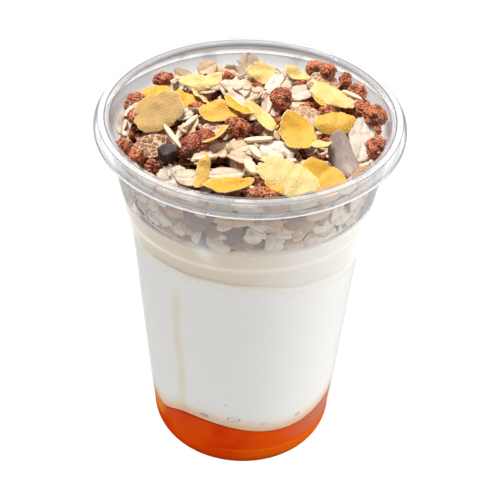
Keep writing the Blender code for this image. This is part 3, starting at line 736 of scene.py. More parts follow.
def torn_edge(draw, turn, ragged, frayed, cracks):
    """Radius of a flake's edge as a share of its ellipse: 1, plus cosines of 2 to 8 waves round
    it, plus finer cosines of 11 to 26 waves, less a bell-shaped notch for each crack."""
    edge = 1.0
    for count in range(2, 9):
        edge = edge + ragged / count ** 0.7 * draw.normal() * np.cos(count * turn + draw.uniform(0.0, 6.28))
    for count in range(11, 27, 3):
        edge = edge + frayed * draw.normal() * np.cos(count * turn + draw.uniform(0.0, 6.28))
    for _ in range(cracks):
        gap = (turn - draw.uniform(-np.pi, np.pi) + np.pi) % (2.0 * np.pi) - np.pi
        edge = edge - draw.uniform(0.1, 0.3) * bell(gap, 0.0, draw.uniform(0.09, 0.18))
    return edge


def flake(draw, length, width, thick, steps, turns, edge, bend=(0.0, 0.0, 0.0), dent=0.0, blisters=0):
    """A flake in its own plane, as a grid of rings from the middle of its upper face, over its
    edge, to the middle of its lower face. Its outline is an ellipse times its torn edge. Bend
    is sweep, which bends the length into an arc in the plane, roll, which bends it into an arc
    out of the plane, both in degrees, and cup, the height that a paraboloid lifts its rim. Dent
    is the height of its uneven surface, and blisters are bell-shaped bumps up and down. Also
    gives each point's share of the way to the edge, and its place in the plane."""
    ring = np.linspace(0.0, np.pi, 2 * steps + 1)[:, None]
    turn = np.linspace(0.0, 2.0 * np.pi, turns, endpoint=False)[None, :]
    reach = np.sin(ring)
    side = np.sign(np.round(np.cos(ring), 6)) * np.abs(np.cos(ring)) ** 0.4
    rim = torn_edge(draw, turn, *edge)
    x = 0.5 * length * reach * rim * np.cos(turn)
    y = 0.5 * width * reach * rim * np.sin(turn)
    flat = np.stack([x, y], -1) + draw.uniform(-900.0, 900.0, 2)
    z = 0.5 * thick * side + dent * ripple(draw, x, y, 0.0, 7, 4.5)
    for _ in range(blisters):
        near = (x - draw.uniform(-0.4, 0.4) * length) ** 2 + (y - draw.uniform(-0.4, 0.4) * width) ** 2
        rise = draw.uniform(0.15, 0.4) * draw.choice([-1.0, 1.0])
        z = z + rise * np.exp(-near / draw.uniform(0.9, 2.2) ** 2)
    sweep, roll, cup = bend
    z = z + cup * 2.0 * ((x / length) ** 2 + (y / width) ** 2)
    if sweep:
        centre = length / math.radians(sweep)
        x, y = (centre + y) * np.sin(x / centre), (centre + y) * np.cos(x / centre) - centre
    if roll:
        centre = length / math.radians(roll)
        x, z = (centre - z) * np.sin(x / centre), centre - (centre - z) * np.cos(x / centre)
    return np.stack([x, y, z + 0.0 * x], -1), reach + 0.0 * x, flat


def lump(draw, length, width, thick, rings, turns, lobes):
    """A rough ball: unit directions, from the top pole to the bottom one, scaled by 1 plus a
    smooth noise and stretched. Also gives the noise, and each point's place seen from above."""
    down = np.linspace(0.0, np.pi, rings)[:, None]
    turn = np.linspace(0.0, 2.0 * np.pi, turns, endpoint=False)[None, :]
    way = np.stack([np.sin(down) * np.cos(turn), np.sin(down) * np.sin(turn), np.cos(down) + 0.0 * turn], -1)
    swell = ripple(draw, way[..., 0], way[..., 1], way[..., 2], 6, 2.2)
    swell = swell + 0.6 * ripple(draw, way[..., 0], way[..., 1], way[..., 2], 8, 0.9)
    points = way * (1.0 + lobes * swell)[..., None] * np.array([length, width, thick]) * 0.5
    points[0], points[-1] = points[0].mean(0), points[-1].mean(0)
    return points, swell, points[..., :2] + draw.uniform(-900.0, 900.0, 2)


def stray(draw, kind, size, steps, turns):
    """One small piece of a kind: a bit of oat or of corn flake, or a crumb of cluster."""
    if kind == "clusters":
        points, swell, flat = lump(draw, 0.65 * size, 0.55 * size, 0.45 * size, 2 * steps + 3, turns, 0.26)
        return points, 0.6 + 0.25 * swell, flat
    return flake(draw, size, size * draw.uniform(0.3, 0.8), draw.uniform(0.6, 0.9), steps, turns,
                 (0.08, 0.01, 1), (0.0, draw.uniform(0.0, 60.0), 0.0), 0.15)


draw = np.random.default_rng(23)
kinds, chances = list(BED_MIX), list(BED_MIX.values())
bed = {kind: [] for kind in kinds}
rows = int(2 * MAP_REACH / BED_SPACING)
for gaps, swell in BED_LAYERS:
    for row in range(rows):
        for column in range(rows):
            x = (column + 0.5 * (row % 2) + draw.uniform(-0.4, 0.4)) * BED_SPACING - MAP_REACH
            y = (row + draw.uniform(-0.4, 0.4)) * BED_SPACING - MAP_REACH
            if math.hypot(x, y) > INSERT_MOUTH - 3.0 or (gaps and draw.random() < gaps):
                continue
            pose = facing(draw.normal() * 20.0, draw.normal() * 20.0, draw.uniform(0.0, 360.0))
            kind = draw.choice(kinds, p=chances)
            points, share, flat = stray(draw, kind, draw.uniform(3.5, 7.0) * swell, 2, 12)
            points = settled(points @ pose.T, x, y, 0.4, 0.85)
            bed[kind].append((points, share, flat, BED_SHADE[kind] + 0.8 * draw.random()))


def on_wall(points, lean, way, height, inset):
    """Stands a flat piece up by an angle in degrees and carries it round to a direction on the
    insert's wall, with its middle an inset inside that wall."""
    c, s = math.cos(math.radians(lean)), math.sin(math.radians(lean))
    x, y, z = points[..., 0] * c + points[..., 2] * s, points[..., 1], points[..., 2] * c - points[..., 0] * s
    x, z = x + (insert_radius(height) - inset), np.minimum(z + height, HEIGHT - 1.2)
    c, s = math.sin(math.radians(way)), -math.cos(math.radians(way))
    return into_insert(np.stack([x * c - y * s, x * s + y * c, z], -1))


# Pieces that stand against the insert's wall, in rows, where they show through it.
for row, (above, count) in enumerate(WALL_ROWS):
    for index in range(count):
        way = 360.0 * (index + 0.5 * row + draw.uniform(-0.3, 0.3)) / count
        height = insert_floor + above + draw.uniform(-1.8, 1.8) * (row > 0)
        kind = "clusters" if row and draw.random() < WALL_CLUSTERS else "oats"
        size = min(draw.uniform(8.0, 13.0), 2.0 * (HEAP_EDGE - 0.5 - height))
        points, share, flat = stray(draw, kind, size, 3, 16)
        spin = draw.uniform(0.0, 360.0) if row else draw.uniform(75.0, 105.0)
        points = on_wall(points @ facing(0.0, 0.0, spin).T, WALL_LEAN + draw.uniform(-14.0, 6.0), way, height,
                         0.6 + draw.uniform(0.0, 0.6) * (1 + (row > 0)) + 0.6 * (row > 0))
        # a tint of 1.6 paints an oat in shade
        bed[kind].append((points, share, flat, draw.choice([0.0, 0.2, 0.5, 1.6 * (0 < row < 4)])))


def kind_object(name, pieces, finish, **more):
    """One mesh of all the loose pieces of a kind, with each point's share, each piece's tint,
    and any more values for each point."""
    made = skin_object(name, [piece[0] for piece in pieces], {
        "share": [piece[1] for piece in pieces],
        "tint": [piece[3] + 0.0 * piece[1] for piece in pieces], **more}, [piece[2] for piece in pieces])
    made.data.materials.append(finish)
    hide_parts("muesli")


# ---- Rolled oats ----
# Flattened oat groats, dusty white to tan, with a crease along the middle and cracked ends. They
# are the bulk of the muesli, and lie in the heap and stand against the insert's wall.

OAT_THICK = 0.85
OAT_CREASE = 0.35
OAT_CHIPS = 100                 # small chips of oat thrown, of which those within reach stay
CHIPS_REACH = 38.0
OAT_WHITE = (0.78, 0.69, 0.57)
OAT_CREAM = (0.62, 0.43, 0.27)
OAT_TAN = (0.36, 0.17, 0.075)
OAT_SHADE = (0.24, 0.18, 0.18)
OAT_EDGE = (0.22, 0.12, 0.08)
# Each row is an oat: place across the cup and to its back, length and width, then spin, lean,
# side and roll in degrees, and how tan it is.
OATS = (
    (-38.5, 2, 12, 5.5, 80, 10, 45, 0, 0.3), (-34, 8, 11, 5, 30, 15, 0, 0, 0.3),
    (-25.5, 21.5, 9.5, 6, 10, 24, 0, 0, 0.4), (-20.5, 2, 7, 5, 20, 14, 0, 0, 0.4),
    (-18.5, -6.5, 11, 4.5, 65, 16, -10, 0, 0.6), (-21, -8, 9, 3, 70, 5, -40, 0, 0.5),
    (0.5, 18, 9, 7.5, 20, 18, 0, 0, 0.55), (-5, 20, 10, 8.5, 0, 24, 0, 0, 0.4),
    (5, 13, 10, 3.5, 80, 14, 14, 0, 0.45), (8, 9.5, 8, 3, 70, 10, 0, 0, 0.5),
    (-4.5, 11, 12, 5, -55, 16, 10, 0, 0.4), (9.5, 25.5, 9.5, 7.5, 40, 24, 0, 0, 0.5),
    (15, 21, 10, 6, 20, 20, 0, 0, 0.4), (22.5, 33, 10, 8, 60, 45, 0, 0, 0.3),
    (33.6, -4.5, 16, 8.5, 82, 30, 8, 0, 0.0), (8.2, -13.8, 10.5, 8.8, -35, 20, 4, 0, 0.0),
    (-2, -14, 12, 5.0, 30, 8, 10, 0, 0.6), (29.5, 17, 8, 4, -20, 10, 0, 0, 0.45),
    (-1.5, 37.5, 8.5, 7.5, 80, 55, 0, 0, 0.4), (-21, 29.5, 9, 6, -30, 32, 10, 40, 0.65),
    (-9.5, 30.5, 7, 4, -10, 16, 0, 0, 0.7), (-6.5, 29, 6, 4, -30, 16, 0, 0, 0.6),
    (-17, -35, 8, 5, 20, 10, 0, 0, 0.65), (-22, -26.2, 10.8, 9.4, 0, 34, -6, 0, 0.3),
    (-17, -27, 11.5, 7, 10, 12, 10, 30, 0.45), (-9, -17.5, 9.0, 6.5, 35, 10, 0, 0, 0.55),
    (3, -17, 8, 4.5, -25, 8, 10, 0, 0.6), (-7, -25, 12, 5.5, 5, 10, 0, 0, 0.45),
    (-3, -20.5, 9, 5, -30, 6, 0, 0, 0.6), (-14, -21, 8, 5, 50, 6, 0, 0, 0.6),
    (19.5, -32.5, 9, 6, 70, 24, 10, 0, 0.8), (36.5, 14, 5, 4.5, 0, 20, -10, 0, 0.6),
    (13, -12, 6, 3, -20, 10, 0, 60, 0.5), (-14, 31.5, 6.5, 5.5, 20, 30, 0, 20, 0.8),
    (7, 20, 9, 5, 60, 20, -10, 0, 0.3), (-12, 25, 8, 5, 30, 15, 0, 0, 0.5),
)
WALL_DROP = 1.8                 # oats under the top row stand this much lower than their row says
TOP_ROW = 113.0                 # from this height up, in the top row, they lean back more
WALL_OATS = (                   # direction, height, length, width, spin, roll, and tint, where 2 is painted shade
    (-41, 103.5, 9, 8, 20, 0, 0.0), (-33, 101.8, 7, 6, 0, 0, 0.1), (-47, 106.5, 8, 5, 60, 0, 0.3),
    (-22, 108.0, 12, 9, 10, 0, 1.7), (-5, 110.5, 13, 5, 0, 0, 0.6), (-6.5, 104.5, 9, 7, 80, 0, 2.1),
    (4, 105.0, 9, 6.5, 70, 20, 0.0), (-12.5, 99.5, 9, 6.5, -20, 0, 0.05), (-20, 99.5, 8, 6, 60, 0, 1.9),
    (2.5, 97.4, 12, 3.4, 4, 0, 0.5), (13.5, 101.0, 9.5, 7, 80, 10, 0.1), (17, 106.5, 6.5, 6, 0, 0, 0.5),
    (26, 105.5, 9, 7, 30, 0, 1.3), (24, 99.0, 9, 5, -10, 0, 0.5), (38, 104.0, 10, 7, 20, 0, 0.2),
    (44, 107.5, 10, 5, 70, 0, 0.0), (-31, 99.5, 8, 5, 30, 0, 1.6), (-38, 99.0, 7, 5, 0, 0, 0.9),
    (-54, 107.0, 9, 5, 60, 0, 0.1), (-58, 101.5, 8, 6, 10, 0, 0.6), (-27, 104.0, 8, 5, 80, 0, 1.2),
    (-14, 105.5, 8, 5, 50, 0, 1.6), (11, 108.5, 8, 6, -30, 0, 0.9), (33, 100.0, 8, 5, 20, 0, 0.4),
    (50, 102.5, 9, 6, 0, 0, 0.2), (58, 106.0, 9, 6, 40, 0, 0.3), (-66, 104.5, 9, 6, 70, 0, 0.3),
    (66, 102.0, 9, 6, 20, 0, 0.5), (-35, 108.5, 9, 6, 0, 0, 0.8), (33, 109.5, 10, 5, 0, 0, 0.6),
    (-49, 100.5, 7, 6, 40, 0, 0.2), (8, 98.5, 7, 5, 20, 0, 1.5), (-10, 96.8, 8, 3, 0, 0, 1.3),
    (-60, 113.5, 10, 5, 0, 0, 0.5), (-48, 114, 9, 5, 10, 0, 0.2), (-36, 113.5, 10, 5, -10, 0, 0.6),
    (-24, 114, 10, 5, 5, 0, 0.4), (-12, 113.5, 9, 5, 0, 0, 0.5), (0, 114.5, 10, 5, -5, 0, 0.3),
    (12, 113.5, 9, 5, 10, 0, 0.6), (24, 114, 10, 5, 0, 0, 0.3), (36, 113.8, 9, 5, -10, 0, 0.5),
    (48, 114, 10, 5, 5, 0, 0.2), (60, 113.5, 10, 5, 0, 0, 0.4), (-3, 100.5, 7, 5, 10, 0, 1.5),
    (40, 98.8, 9, 5, 10, 0, 0.3), (19, 97.8, 8, 3.4, 10, 0, 0.8),
)
draw = np.random.default_rng(37)
oats = list(bed["oats"])
for way, height, length, width, spin, roll, tint in WALL_OATS:
    points, share, flat = flake(draw, length, width, 0.7, 7, 40, (0.07, 0.015, 3), (0.0, roll, -0.5), 0.1)
    lean, low = (58.0, 0.3) if height > TOP_ROW else (82.0, WALL_DROP)
    points = points @ facing(0.0, 0.0, spin + 90.0).T
    points = on_wall(points, lean, way, height - low, 0.75 + 0.25 * (tint > 1.0))
    oats.append((points, share, flat, tint))
for x, y, length, width, spin, lean, side, roll, tint in OATS:
    points, share, flat = flake(draw, length, width, OAT_THICK, 9, 60, (0.045, 0.009, 2),
                                (0.0, roll, 0.6), 0.14)
    local = flat - flat[0, 0]
    crease = bell(local[..., 1], 0.4 * np.sin(0.5 * local[..., 0]), 0.45)
    points[..., 2] -= OAT_CREASE * crease * np.sign(points[..., 2]) * (share < 0.93)
    oats.append((settled(points @ facing(lean, side, spin).T, x, y), share, flat, tint))
for _ in range(OAT_CHIPS):
    x, y = draw.uniform(-1.0, 1.0, 2) * CHIPS_REACH
    points, share, flat = stray(draw, "oats", draw.uniform(2.5, 5.0), 2, 12)
    pose = facing(draw.normal() * 25.0, draw.normal() * 25.0, draw.uniform(0.0, 360.0))
    if math.hypot(x, y) < CHIPS_REACH:
        oats.append((settled(points @ pose.T, x, y), share, flat, draw.uniform(0.3, 1.0)))


def flat_place(tree, stretch=(1.0, 1.0, 1.0)):
    """Place in the piece's own plane, in millimetres, stretched along its two directions."""
    place = node(tree, "ShaderNodeUVMap", uv_map="flat").outputs["UV"]
    return node(tree, "ShaderNodeMapping", Vector=place, Scale=stretch).outputs["Vector"]


dust, tree, shader = principled("rolled oats", Roughness=0.8, Subsurface_Weight=0.12,
                                Subsurface_Radius=(1.0, 0.8, 0.6), Subsurface_Scale=0.0012)
body = graded(tree, "tint", OAT_WHITE, OAT_CREAM, 0.15, 0.75)
# tints from 1 to 2 are painted shade
body = graded(tree, "tint", body, OAT_SHADE, 1.0, 2.0)
body, _ = mottled(tree, flat_place(tree), body, OAT_TAN, 0.4, 0.50, 0.75, 0.6)
body, fibre = mottled(tree, flat_place(tree, (0.7, 2.2, 1.0)), body, OAT_TAN, 1.0, 0.55, 0.75, 0.5)
body = graded(tree, "share", body, OAT_EDGE, 0.86, 1.0, 0.6)
surfaced(tree, shader, body, fibre, 0.5, 0.35)
kind_object("rolled_oats", oats, dust)

# ---- Wheat flakes ----
# Puffed wheat flakes: thicker, tan, and covered with round cells left by bubbles, whose thin
# walls show as a pale net. The rows read as those of the oats, less the roll.

WHEAT_THICK = 1.3
WHEAT_CELL = 1.7                # width of a cell
WHEAT_CELLS = 64                # cells on and round a flake
WHEAT_NET = (0.72, 0.52, 0.36)
WHEAT_PALE = (0.48, 0.25, 0.13)
WHEAT_BROWN = (0.26, 0.10, 0.03)
WHEAT = (
    (-10.5, -3, 8, 5.5, 0, 15, 0, 0.5), (16.5, 5.5, 11, 8.5, -10, 20, 0, 0.3),
    (22, 24, 11, 7.5, -5, 20, 6, 0.5), (-29, -12.5, 12, 8.5, 15, 24, -8, 1.0),
)
draw = np.random.default_rng(41)
wheat = []
for x, y, length, width, spin, lean, side, tint in WHEAT:
    points, share, flat = flake(draw, length, width, WHEAT_THICK, 18, 84, (0.07, 0.008, 0), dent=0.15)
    local = flat - flat[0, 0]
    seeds = np.stack([draw.uniform(-0.6, 0.6, WHEAT_CELLS) * size for size in (length, width)], -1)
    gap = np.sort(np.linalg.norm(local[:, :, None, :] - seeds, axis=-1), -1)
    cell = ramped(gap[..., 1] - gap[..., 0], 0.0, 0.45 * WHEAT_CELL)
    points[..., 2] += 0.45 * np.sqrt(cell) * np.sign(points[..., 2]) * (share < 0.97)
    wheat.append((settled(points @ facing(lean, side, spin).T, x, y), cell, flat, tint))
puffed, tree, shader = principled("puffed wheat", Roughness=0.7)
body = graded(tree, "tint", WHEAT_PALE, WHEAT_BROWN)
body, grain = mottled(tree, flat_place(tree), body, WHEAT_NET, 2.5, 0.5, 0.75, 0.5)
body = graded(tree, "share", WHEAT_NET, body, 0.0, 0.45)
surfaced(tree, shader, body, grain, 0.4, 0.3)
kind_object("wheat_flakes", wheat, puffed)

# ---- Cocoa clusters ----
# Baked clusters of crushed grain and cocoa: rough red-brown lumps of grains that stick out, some of them
# pale, as bits of nut and as painted highlights. They sink a little into the oats that they lie on.

CLUSTER_DARK_AND_SHADE = (0.06, 0.012, 0.005)
CLUSTER_RED = (0.40, 0.058, 0.024)
CLUSTER_WARM = (0.70, 0.19, 0.065)
CLUSTER_NUT_AND_HIGHLIGHT = (0.88, 0.47, 0.29)
GRAIN_SIZE = 0.8
GRAINS_LEAST = 30               # grains that even a small lump has
CRUMB_SIZE = 0.55
CLUSTERS = (                    # place, length, width, height, spin, and how bright it is
    (-35.5, 14.5, 7.5, 6.5, 5.5, 20, 0.6), (-27.5, 25, 6.5, 4.5, 4, 25, 0.3), (-34.5, 2, 5, 5, 4, 0, 0.5),
    (-16.5, 6, 5, 4, 4, 10, 1.0), (9.5, 11.5, 8, 7, 6, 60, 0.7), (20, 32.5, 6, 6, 5, -10, 1.0),
    (23.5, 27, 4.5, 5, 4, 0, 0.8), (29, 26.5, 6.5, 4, 4.5, 80, 0.45), (32.5, 20.5, 6.5, 5.5, 5, 0, 0.9),
    (34, 11, 7, 6, 5, -20, 0.7), (37.5, 3.0, 7, 8, 6, -30, 0.8), (38.3, -8.5, 6, 8, 5.5, 10, 0.9),
    (-37.5, -9.5, 5.5, 6, 5, 0, 0.7), (-33.5, -17.5, 5, 5, 4.5, 0, 0.6), (-28, -20.5, 5.5, 5, 5, 0, 0.4),
    (-15.5, -14.5, 14, 7.5, 6.5, 42, 0.05), (-4, -4.0, 7.5, 6.5, 6, 20, 0.9),
    (4.5, -37.8, 9.5, 4.2, 4, 0, 0.75), (-1.5, 1, 4, 3, 3, 0, 0.8), (-7, 24, 4, 3, 3, 0, 0.5),
    (3.5, 6, 3, 4, 3, 0, 0.4), (23, 7.5, 5, 4, 3.5, 0, 0.8),
)
draw = np.random.default_rng(43)
clusters, nut_and_highlight_grains = list(bed["clusters"]), [0.5 + 0.0 * piece[1] for piece in bed["clusters"]]
for x, y, length, width, thick, spin, tint in CLUSTERS:
    points, swell, flat = lump(draw, length, width, thick, 44, 66, 0.13)
    way = points / np.maximum(np.linalg.norm(points, axis=-1, keepdims=True), 0.01)
    seeds = draw.normal(size=(max(GRAINS_LEAST, int(length * width / GRAIN_SIZE ** 2 * 2.6)), 3))
    seeds *= np.array([length, width, thick]) * 0.5 / np.linalg.norm(seeds, axis=1, keepdims=True)
    sizes = GRAIN_SIZE * draw.uniform(0.5, 1.25, len(seeds))
    cap = 1.0 - (np.linalg.norm(points[:, :, None, :] - seeds, axis=-1) / sizes) ** 2
    relief = np.sqrt(np.clip(cap.max(-1), 0.0, 1.0)) * sizes[cap.argmax(-1)] / GRAIN_SIZE
    points = points + way * (0.55 * (relief - 0.5))[..., None]
    points[0], points[-1] = points[0].mean(0), points[-1].mean(0)
    clusters.append((settled(points @ facing(0.0, 0.0, spin).T, x, y, 1.4), relief, flat, tint))
    nut_and_highlight_grains.append(draw.random(len(seeds))[cap.argmax(-1)])
baked, tree, shader = principled("cocoa clusters", Roughness=0.5, Specular_IOR_Level=0.35)
place = object_place(tree)
crumb = node(tree, "ShaderNodeTexVoronoi", Vector=place, Scale=1.0 / (CRUMB_SIZE * MILLIMETRE))
which = node(tree, "ShaderNodeSeparateColor", Color=crumb.outputs["Color"]).outputs["Red"]
body = graded(tree, "tint", CLUSTER_RED, CLUSTER_WARM)
# pale grains: bits of nut, and painted highlights
body = graded(tree, "nut", body, CLUSTER_NUT_AND_HIGHLIGHT, 0.8, 0.95, 0.6)
body = graded(tree, which, body, CLUSTER_NUT_AND_HIGHLIGHT, 0.65, 1.0, 0.5)
body, _ = mottled(tree, place, body, CLUSTER_DARK_AND_SHADE, 300.0, 0.5, 0.7, 0.5)
# painted shade in the cracks between crumbs and, below, in the hollows between grains
body = graded(tree, crumb.outputs["Distance"], body, CLUSTER_DARK_AND_SHADE, 0.45, 0.8, 0.9)
body = graded(tree, "share", CLUSTER_DARK_AND_SHADE, body, -0.2, 0.5)
surfaced(tree, shader, body, crumb.outputs["Distance"], 0.9, -0.45)
kind_object("cocoa_clusters", clusters, baked, nut=nut_and_highlight_grains)

# ---- Chocolate, shell, seeds and slivers ----
# Single finds in the mix: a broken block of dark chocolate, a grey curled seed shell, two brown
# seeds, and pale slivers of almond.

CHOCOLATE_DARK = (0.022, 0.010, 0.007)
CHOCOLATE_BLOOM = (0.085, 0.045, 0.032)
SHELL_GREY = (0.40, 0.31, 0.26)
SHELL_DARK = (0.10, 0.055, 0.035)
SEED_BROWN = (0.42, 0.21, 0.10)
ALMOND = (0.80, 0.66, 0.44)
SLIVERS = (                     # place, length, width, thickness, then spin, lean and side in degrees
    (2.5, -11, 9, 2.2, 1.4, 10, 0, 0), (31, 15, 7, 1.8, 1.2, -30, 0, 10),
    (0.5, -25.5, 6, 3.2, 1.8, -60, 20, 0), (-23, -14.5, 11, 1.8, 1.2, -58, 0, 20),
    (-1, -29.5, 8, 2.0, 1.2, -25, 0, 0), (1.8, -20, 6, 2.2, 1.4, -60, 10, 0),
    (-18, -4, 8, 1.6, 1.0, 60, 0, 0), (-13, -22, 7, 1.8, 1.0, 20, 0, 0), (7, -4, 6, 1.6, 1.0, 80, 0, 0),
)
SEEDS = (                       # place, length, width, thickness, spin, and how brown
    (33.5, -20, 6.5, 3.0, 2.4, 30, 1.0), (31.5, -23.5, 6.0, 2.6, 2.2, 42, 0.9),
)


def boxed(draw, length, width, thick):
    """A broken block: unit directions divided by the twelfth-power mean of their parts, which
    gives a cube with soft edges, stretched and a little uneven."""
    points, share, flat = lump(draw, 2.0, 2.0, 2.0, 41, 64, 0.0)
    points = points / ((np.abs(points) ** 12).sum(-1, keepdims=True) ** (1.0 / 12.0))
    points = points * (1.0 + 0.03 * ripple(draw, *np.moveaxis(points, -1, 0), 6, 1.6))[..., None]
    points[0], points[-1] = points[0].mean(0), points[-1].mean(0)
    return points * np.array([length, width, thick]) * 0.5, share, flat


draw = np.random.default_rng(47)
points, share, flat = boxed(draw, 5.0, 4.6, 3.8)
chocolate_block = [(settled(points @ facing(14.0, -8.0, 30.0).T, -24, -19.5, 1.4), share, flat, 0.5)]
cocoa, tree, shader = principled("dark chocolate", Roughness=0.65, Specular_IOR_Level=0.3)
body, grain = mottled(tree, object_place(tree), CHOCOLATE_DARK, CHOCOLATE_BLOOM, 400.0, 0.45, 0.75)
surfaced(tree, shader, body, grain, 0.4, 0.4)
kind_object("chocolate_block", chocolate_block, cocoa)

points, share, flat = flake(draw, 17.5, 8.0, 0.9, 10, 48, (0.04, 0.0, 0), (-25.0, 45.0, 0.0), 0.1)
local = flat - flat[0, 0]
points[..., 2] -= 0.12 * local[..., 1] ** 2
seed_shell = [(settled(points @ facing(32.0, 12.0, -66.0).T, 28.3, -15.5), share, flat, 0.5)]
husk, tree, shader = principled("seed shell", Roughness=0.5)
body, grain = mottled(tree, flat_place(tree, (0.4, 1.6, 1.0)), SHELL_GREY, SHELL_DARK, 1.0, 0.5, 0.75, 0.5)
surfaced(tree, shader, body, grain, 0.3, 0.25)
kind_object("seed_shell", seed_shell, husk)

slivers = []
for x, y, length, width, thick, spin, lean, side in SLIVERS:
    sweep = draw.uniform(-25.0, 25.0)
    points, share, flat = flake(draw, length, width, thick, 8, 24, (0.03, 0.0, 0), (sweep, 0.0, 0.0), 0.05)
    slivers.append((settled(points @ facing(lean, side, spin).T, x, y), share, flat, draw.uniform(0.0, 0.3)))
for x, y, length, width, thick, spin, tint in SEEDS:
    points, share, flat = lump(draw, length, width, thick, 18, 24, 0.05)
    slivers.append((settled(points @ facing(10.0, 0.0, spin).T, x, y, 0.6), share, flat, tint))
almond, tree, shader = principled("almond slivers", Roughness=0.55, Subsurface_Weight=0.1,
                                  Subsurface_Scale=0.001)
body = graded(tree, "tint", ALMOND, SEED_BROWN, 0.3, 1.0)
body, grain = mottled(tree, flat_place(tree, (0.4, 3.0, 1.0)), body, SEED_BROWN, 1.0, 0.5, 0.8, 0.3)
surfaced(tree, shader, body, grain, 0.3, 0.2)
kind_object("seeds_and_slivers", slivers, almond)

# ---- Corn flakes ----
# Toasted corn flakes: thin, stiff, curled and blistered, pale yellow to deep gold, with torn
# rims. They were tipped in last and lie on top.

CORN_THICK = 0.6
CORN_PALE = (0.72, 0.54, 0.20)
CORN_GOLD = (0.70, 0.36, 0.010)
CORN_TOAST = (0.42, 0.15, 0.02)
CORN_RIM_HIGHLIGHT = (0.90, 0.82, 0.52)
CORN_TAN = (0.40, 0.235, 0.065)
# Each row is a flake, in the order in which they settle: place, length and width, then spin,
# lean, side, sweep and roll in degrees, cup in millimetres, and how golden it is (1.8 is tan).
CORN = (
    (-29, 17.5, 10, 6, 0, 10, -8, 0, 30, 0, 0.85), (-20, 14, 11, 6.5, -32, 12, 10, 0, 40, 0, 1.0),
    (-9.5, 2.0, 12.5, 8, -5, 20, 0, 0, 0, 1.2, 0.8), (-4, 3, 14, 4.5, -50, -10, 10, -20, 30, 0, 1.0),
    (14, 27, 9, 5, -30, 10, 10, 0, 50, 0, 0.3), (20.5, 12.5, 9, 3, -60, -10, 20, 0, 10, 0, 1.0),
    (11, -36, 13, 6, -14, 20, 6, 0, 20, 0, 0.95), (-6, -29.5, 12, 6, -8, -22, 0, 0, 10, 0, 0.8),
    (-8.5, -32.0, 13, 6, 6, -12, 0, 0, 15, 0, 0.45), (-5.5, -35.0, 15, 6, 16, 4, 0, 0, 25, 0, 0.9),
    (21.5, -14.5, 7, 4, 35, -10, 0, 0, 10, 0, 0.15), (-10, -14, 11, 5, 45, -15, -25, 0, 30, 0, 0.6),
    (4, 32, 11.5, 8, -22, 24, 6, 0, 25, 0.5, 0.35), (-28, 1.5, 17, 13, 33, 25, -6, 0, 25, -1.0, 1.8),
    (-15.5, 21.5, 13.5, 6, 8, 25, 0, -60, 30, -1.5, 0.05),
    (-15, 14, 12.5, 3.5, -50, -20, 30, 0, 20, 0, 0.1), (3.5, 1.5, 15, 5, -50, 10, 10, 55, 20, 0.8, 0.25),
    (24.5, 14, 15.5, 7.5, -34, 12, 4, 0, 25, -1.0, 0.2), (14.2, -7.2, 15, 11, -50, 16, 10, 30, 70, 0, 0.8),
    (25.6, -1.2, 12.5, 8.0, 8, 30, 6, -75, 30, -1.5, 0.75),
    (21.5, -26.5, 15.5, 13, -40, 18, 10, 0, 30, 1.2, 0.85),
    (11.3, -33.0, 18.8, 12, -24, 22, 4, 0, 20, -1.2, 0.15),
    (-13.5, -31, 12.5, 4.5, 75, 25, 35, -40, 30, 0, 0.55),
)
draw = np.random.default_rng(31)
corn = list(bed["corn"])
for x, y, length, width, spin, lean, side, sweep, roll, cup, tint in CORN:
    points, share, flat = flake(draw, length, width, CORN_THICK, 11, 72, (0.065, 0.010, 1),
                                (sweep, roll, cup), 0.24, 9)
    corn.append((settled(points @ facing(lean, side, spin).T, x, y), share, flat, tint))
toasted, tree, shader = principled("toasted corn", Roughness=0.5, Subsurface_Weight=0.1,
                                   Subsurface_Radius=(1.0, 0.6, 0.2), Subsurface_Scale=0.001)
body = graded(tree, "tint", CORN_PALE, CORN_GOLD, 0.1, 0.95)
body = graded(tree, "tint", body, CORN_TAN, 1.1, 2.0)
body, _ = mottled(tree, flat_place(tree), body, CORN_GOLD, 0.3, 0.48, 0.72, 0.4)
body, grain = mottled(tree, flat_place(tree), body, CORN_TOAST, 1.6, 0.5, 0.8, 0.35)
# a painted highlight along the torn rims
body = graded(tree, "share", body, CORN_RIM_HIGHLIGHT, 0.95, 1.0, 0.6)
surfaced(tree, shader, body, grain, 0.7, 0.5)
kind_object("corn_flakes", corn, toasted)

# ---- Table and studio ----
# The cup stands on a white table in even studio light: a surround that glows most half way up, a
# small soft lamp overhead, a little behind it and to the left, for the heap, and a tall one at
# the right that brightens the yogurt's side.

FLOOR_SIZE = 4.0
WALL_GLOW = 0.06
UPPER_GLOW = 0.31
CEILING_GLOW = 0.10
SURROUND = ((0.1, WALL_GLOW), (0.35, UPPER_GLOW), (0.65, UPPER_GLOW), (0.9, CEILING_GLOW))
floor_mesh = bpy.data.meshes.new("table_top")
half = 0.5 * FLOOR_SIZE
corners = [(-half, -half, 0.0), (half, -half, 0.0), (half, half, 0.0), (-half, half, 0.0)]
floor_mesh.from_pydata(corners, [], [(0, 1, 2, 3)])
floor = bpy.data.objects.new("table_top", floor_mesh)
bpy.context.scene.collection.objects.link(floor)
table_white, _, _ = principled(
    "white table", Base_Color=(0.06, 0.06, 0.06, 1.0), Roughness=0.9, Emission_Color=(1.0, 1.0, 1.0, 1.0),
    Emission_Strength=1.0)
floor_mesh.materials.append(table_white)

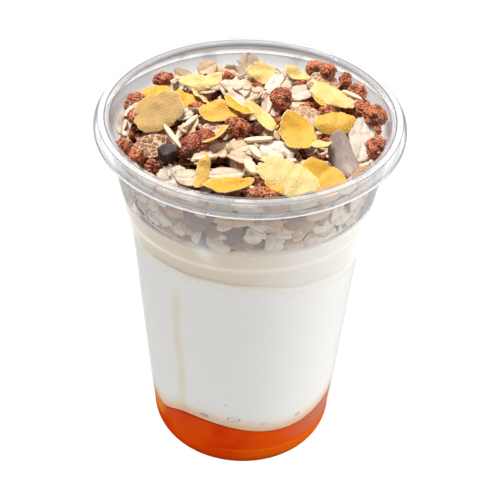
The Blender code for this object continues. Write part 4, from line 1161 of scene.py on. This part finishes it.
world = bpy.data.worlds.new("white surround")
bpy.context.scene.world = world
world.use_nodes = True
tree = world.node_tree
way = node(tree, "ShaderNodeTexCoord").outputs["Generated"]
up = node(tree, "ShaderNodeSeparateXYZ", Vector=way).outputs["Z"]
ramp = node(tree, "ShaderNodeValToRGB", Fac=up)
for at, _ in SURROUND[1:-1]:
    ramp.color_ramp.elements.new(at)
for stop, (at, glow) in zip(ramp.color_ramp.elements, SURROUND):
    stop.position, stop.color = at, (glow, glow, glow, 1.0)
tree.nodes["Background"].inputs["Color"].default_value = (1.0, 1.0, 1.0, 1.0)
tree.links.new(ramp.outputs["Color"], tree.nodes["Background"].inputs["Strength"])
bpy.context.scene.view_settings.view_transform = "Standard"


def soft_box(name, place, aim, width, height, power):
    """A rectangular lamp at a place, turned to face a point, in metres and watts."""
    data = bpy.data.lights.new(name, "AREA")
    data.shape = "RECTANGLE"
    data.size, data.size_y, data.energy = width, height, power
    lamp = bpy.data.objects.new(name, data)
    lamp.location = place
    beam = mathutils.Vector(aim) - mathutils.Vector(place)
    lamp.rotation_euler = beam.to_track_quat("-Z", "Y").to_euler()
    bpy.context.scene.collection.objects.link(lamp)


soft_box("heap_light", (-0.14, 0.16, 0.69), (0.0, 0.0, 0.11), 0.2, 0.2, 6.3)
soft_box("side_light", (0.85, 0.0, 0.35), (0.0, 0.0, 0.06), 0.4, 0.8, 4.0)

# ---- Camera ----
# A long lens from the front, about three quarters of a metre off and looking down on the cup.

CAMERA_PLACE = (0.0, -0.5918, 0.5009)
CAMERA_DOWN = 36.07             # degrees below level
CAMERA_RIGHT = 0.12             # degrees to the right of the cup's front
CAMERA_ROLL = 2.01              # degrees
CAMERA_LENS = 167.9             # for a sensor 36 mm wide
camera_data = bpy.data.cameras.new("camera")
camera_data.sensor_width = 36.0
camera_data.lens = CAMERA_LENS
camera = bpy.data.objects.new("camera", camera_data)
camera.matrix_world = (
    mathutils.Matrix.Translation(CAMERA_PLACE)
    @ mathutils.Matrix.Rotation(math.radians(-CAMERA_RIGHT), 4, "Z")
    @ mathutils.Matrix.Rotation(math.radians(90.0 - CAMERA_DOWN), 4, "X")
    @ mathutils.Matrix.Rotation(math.radians(CAMERA_ROLL), 4, "Z")
)
bpy.context.scene.collection.objects.link(camera)
bpy.context.scene.camera = camera
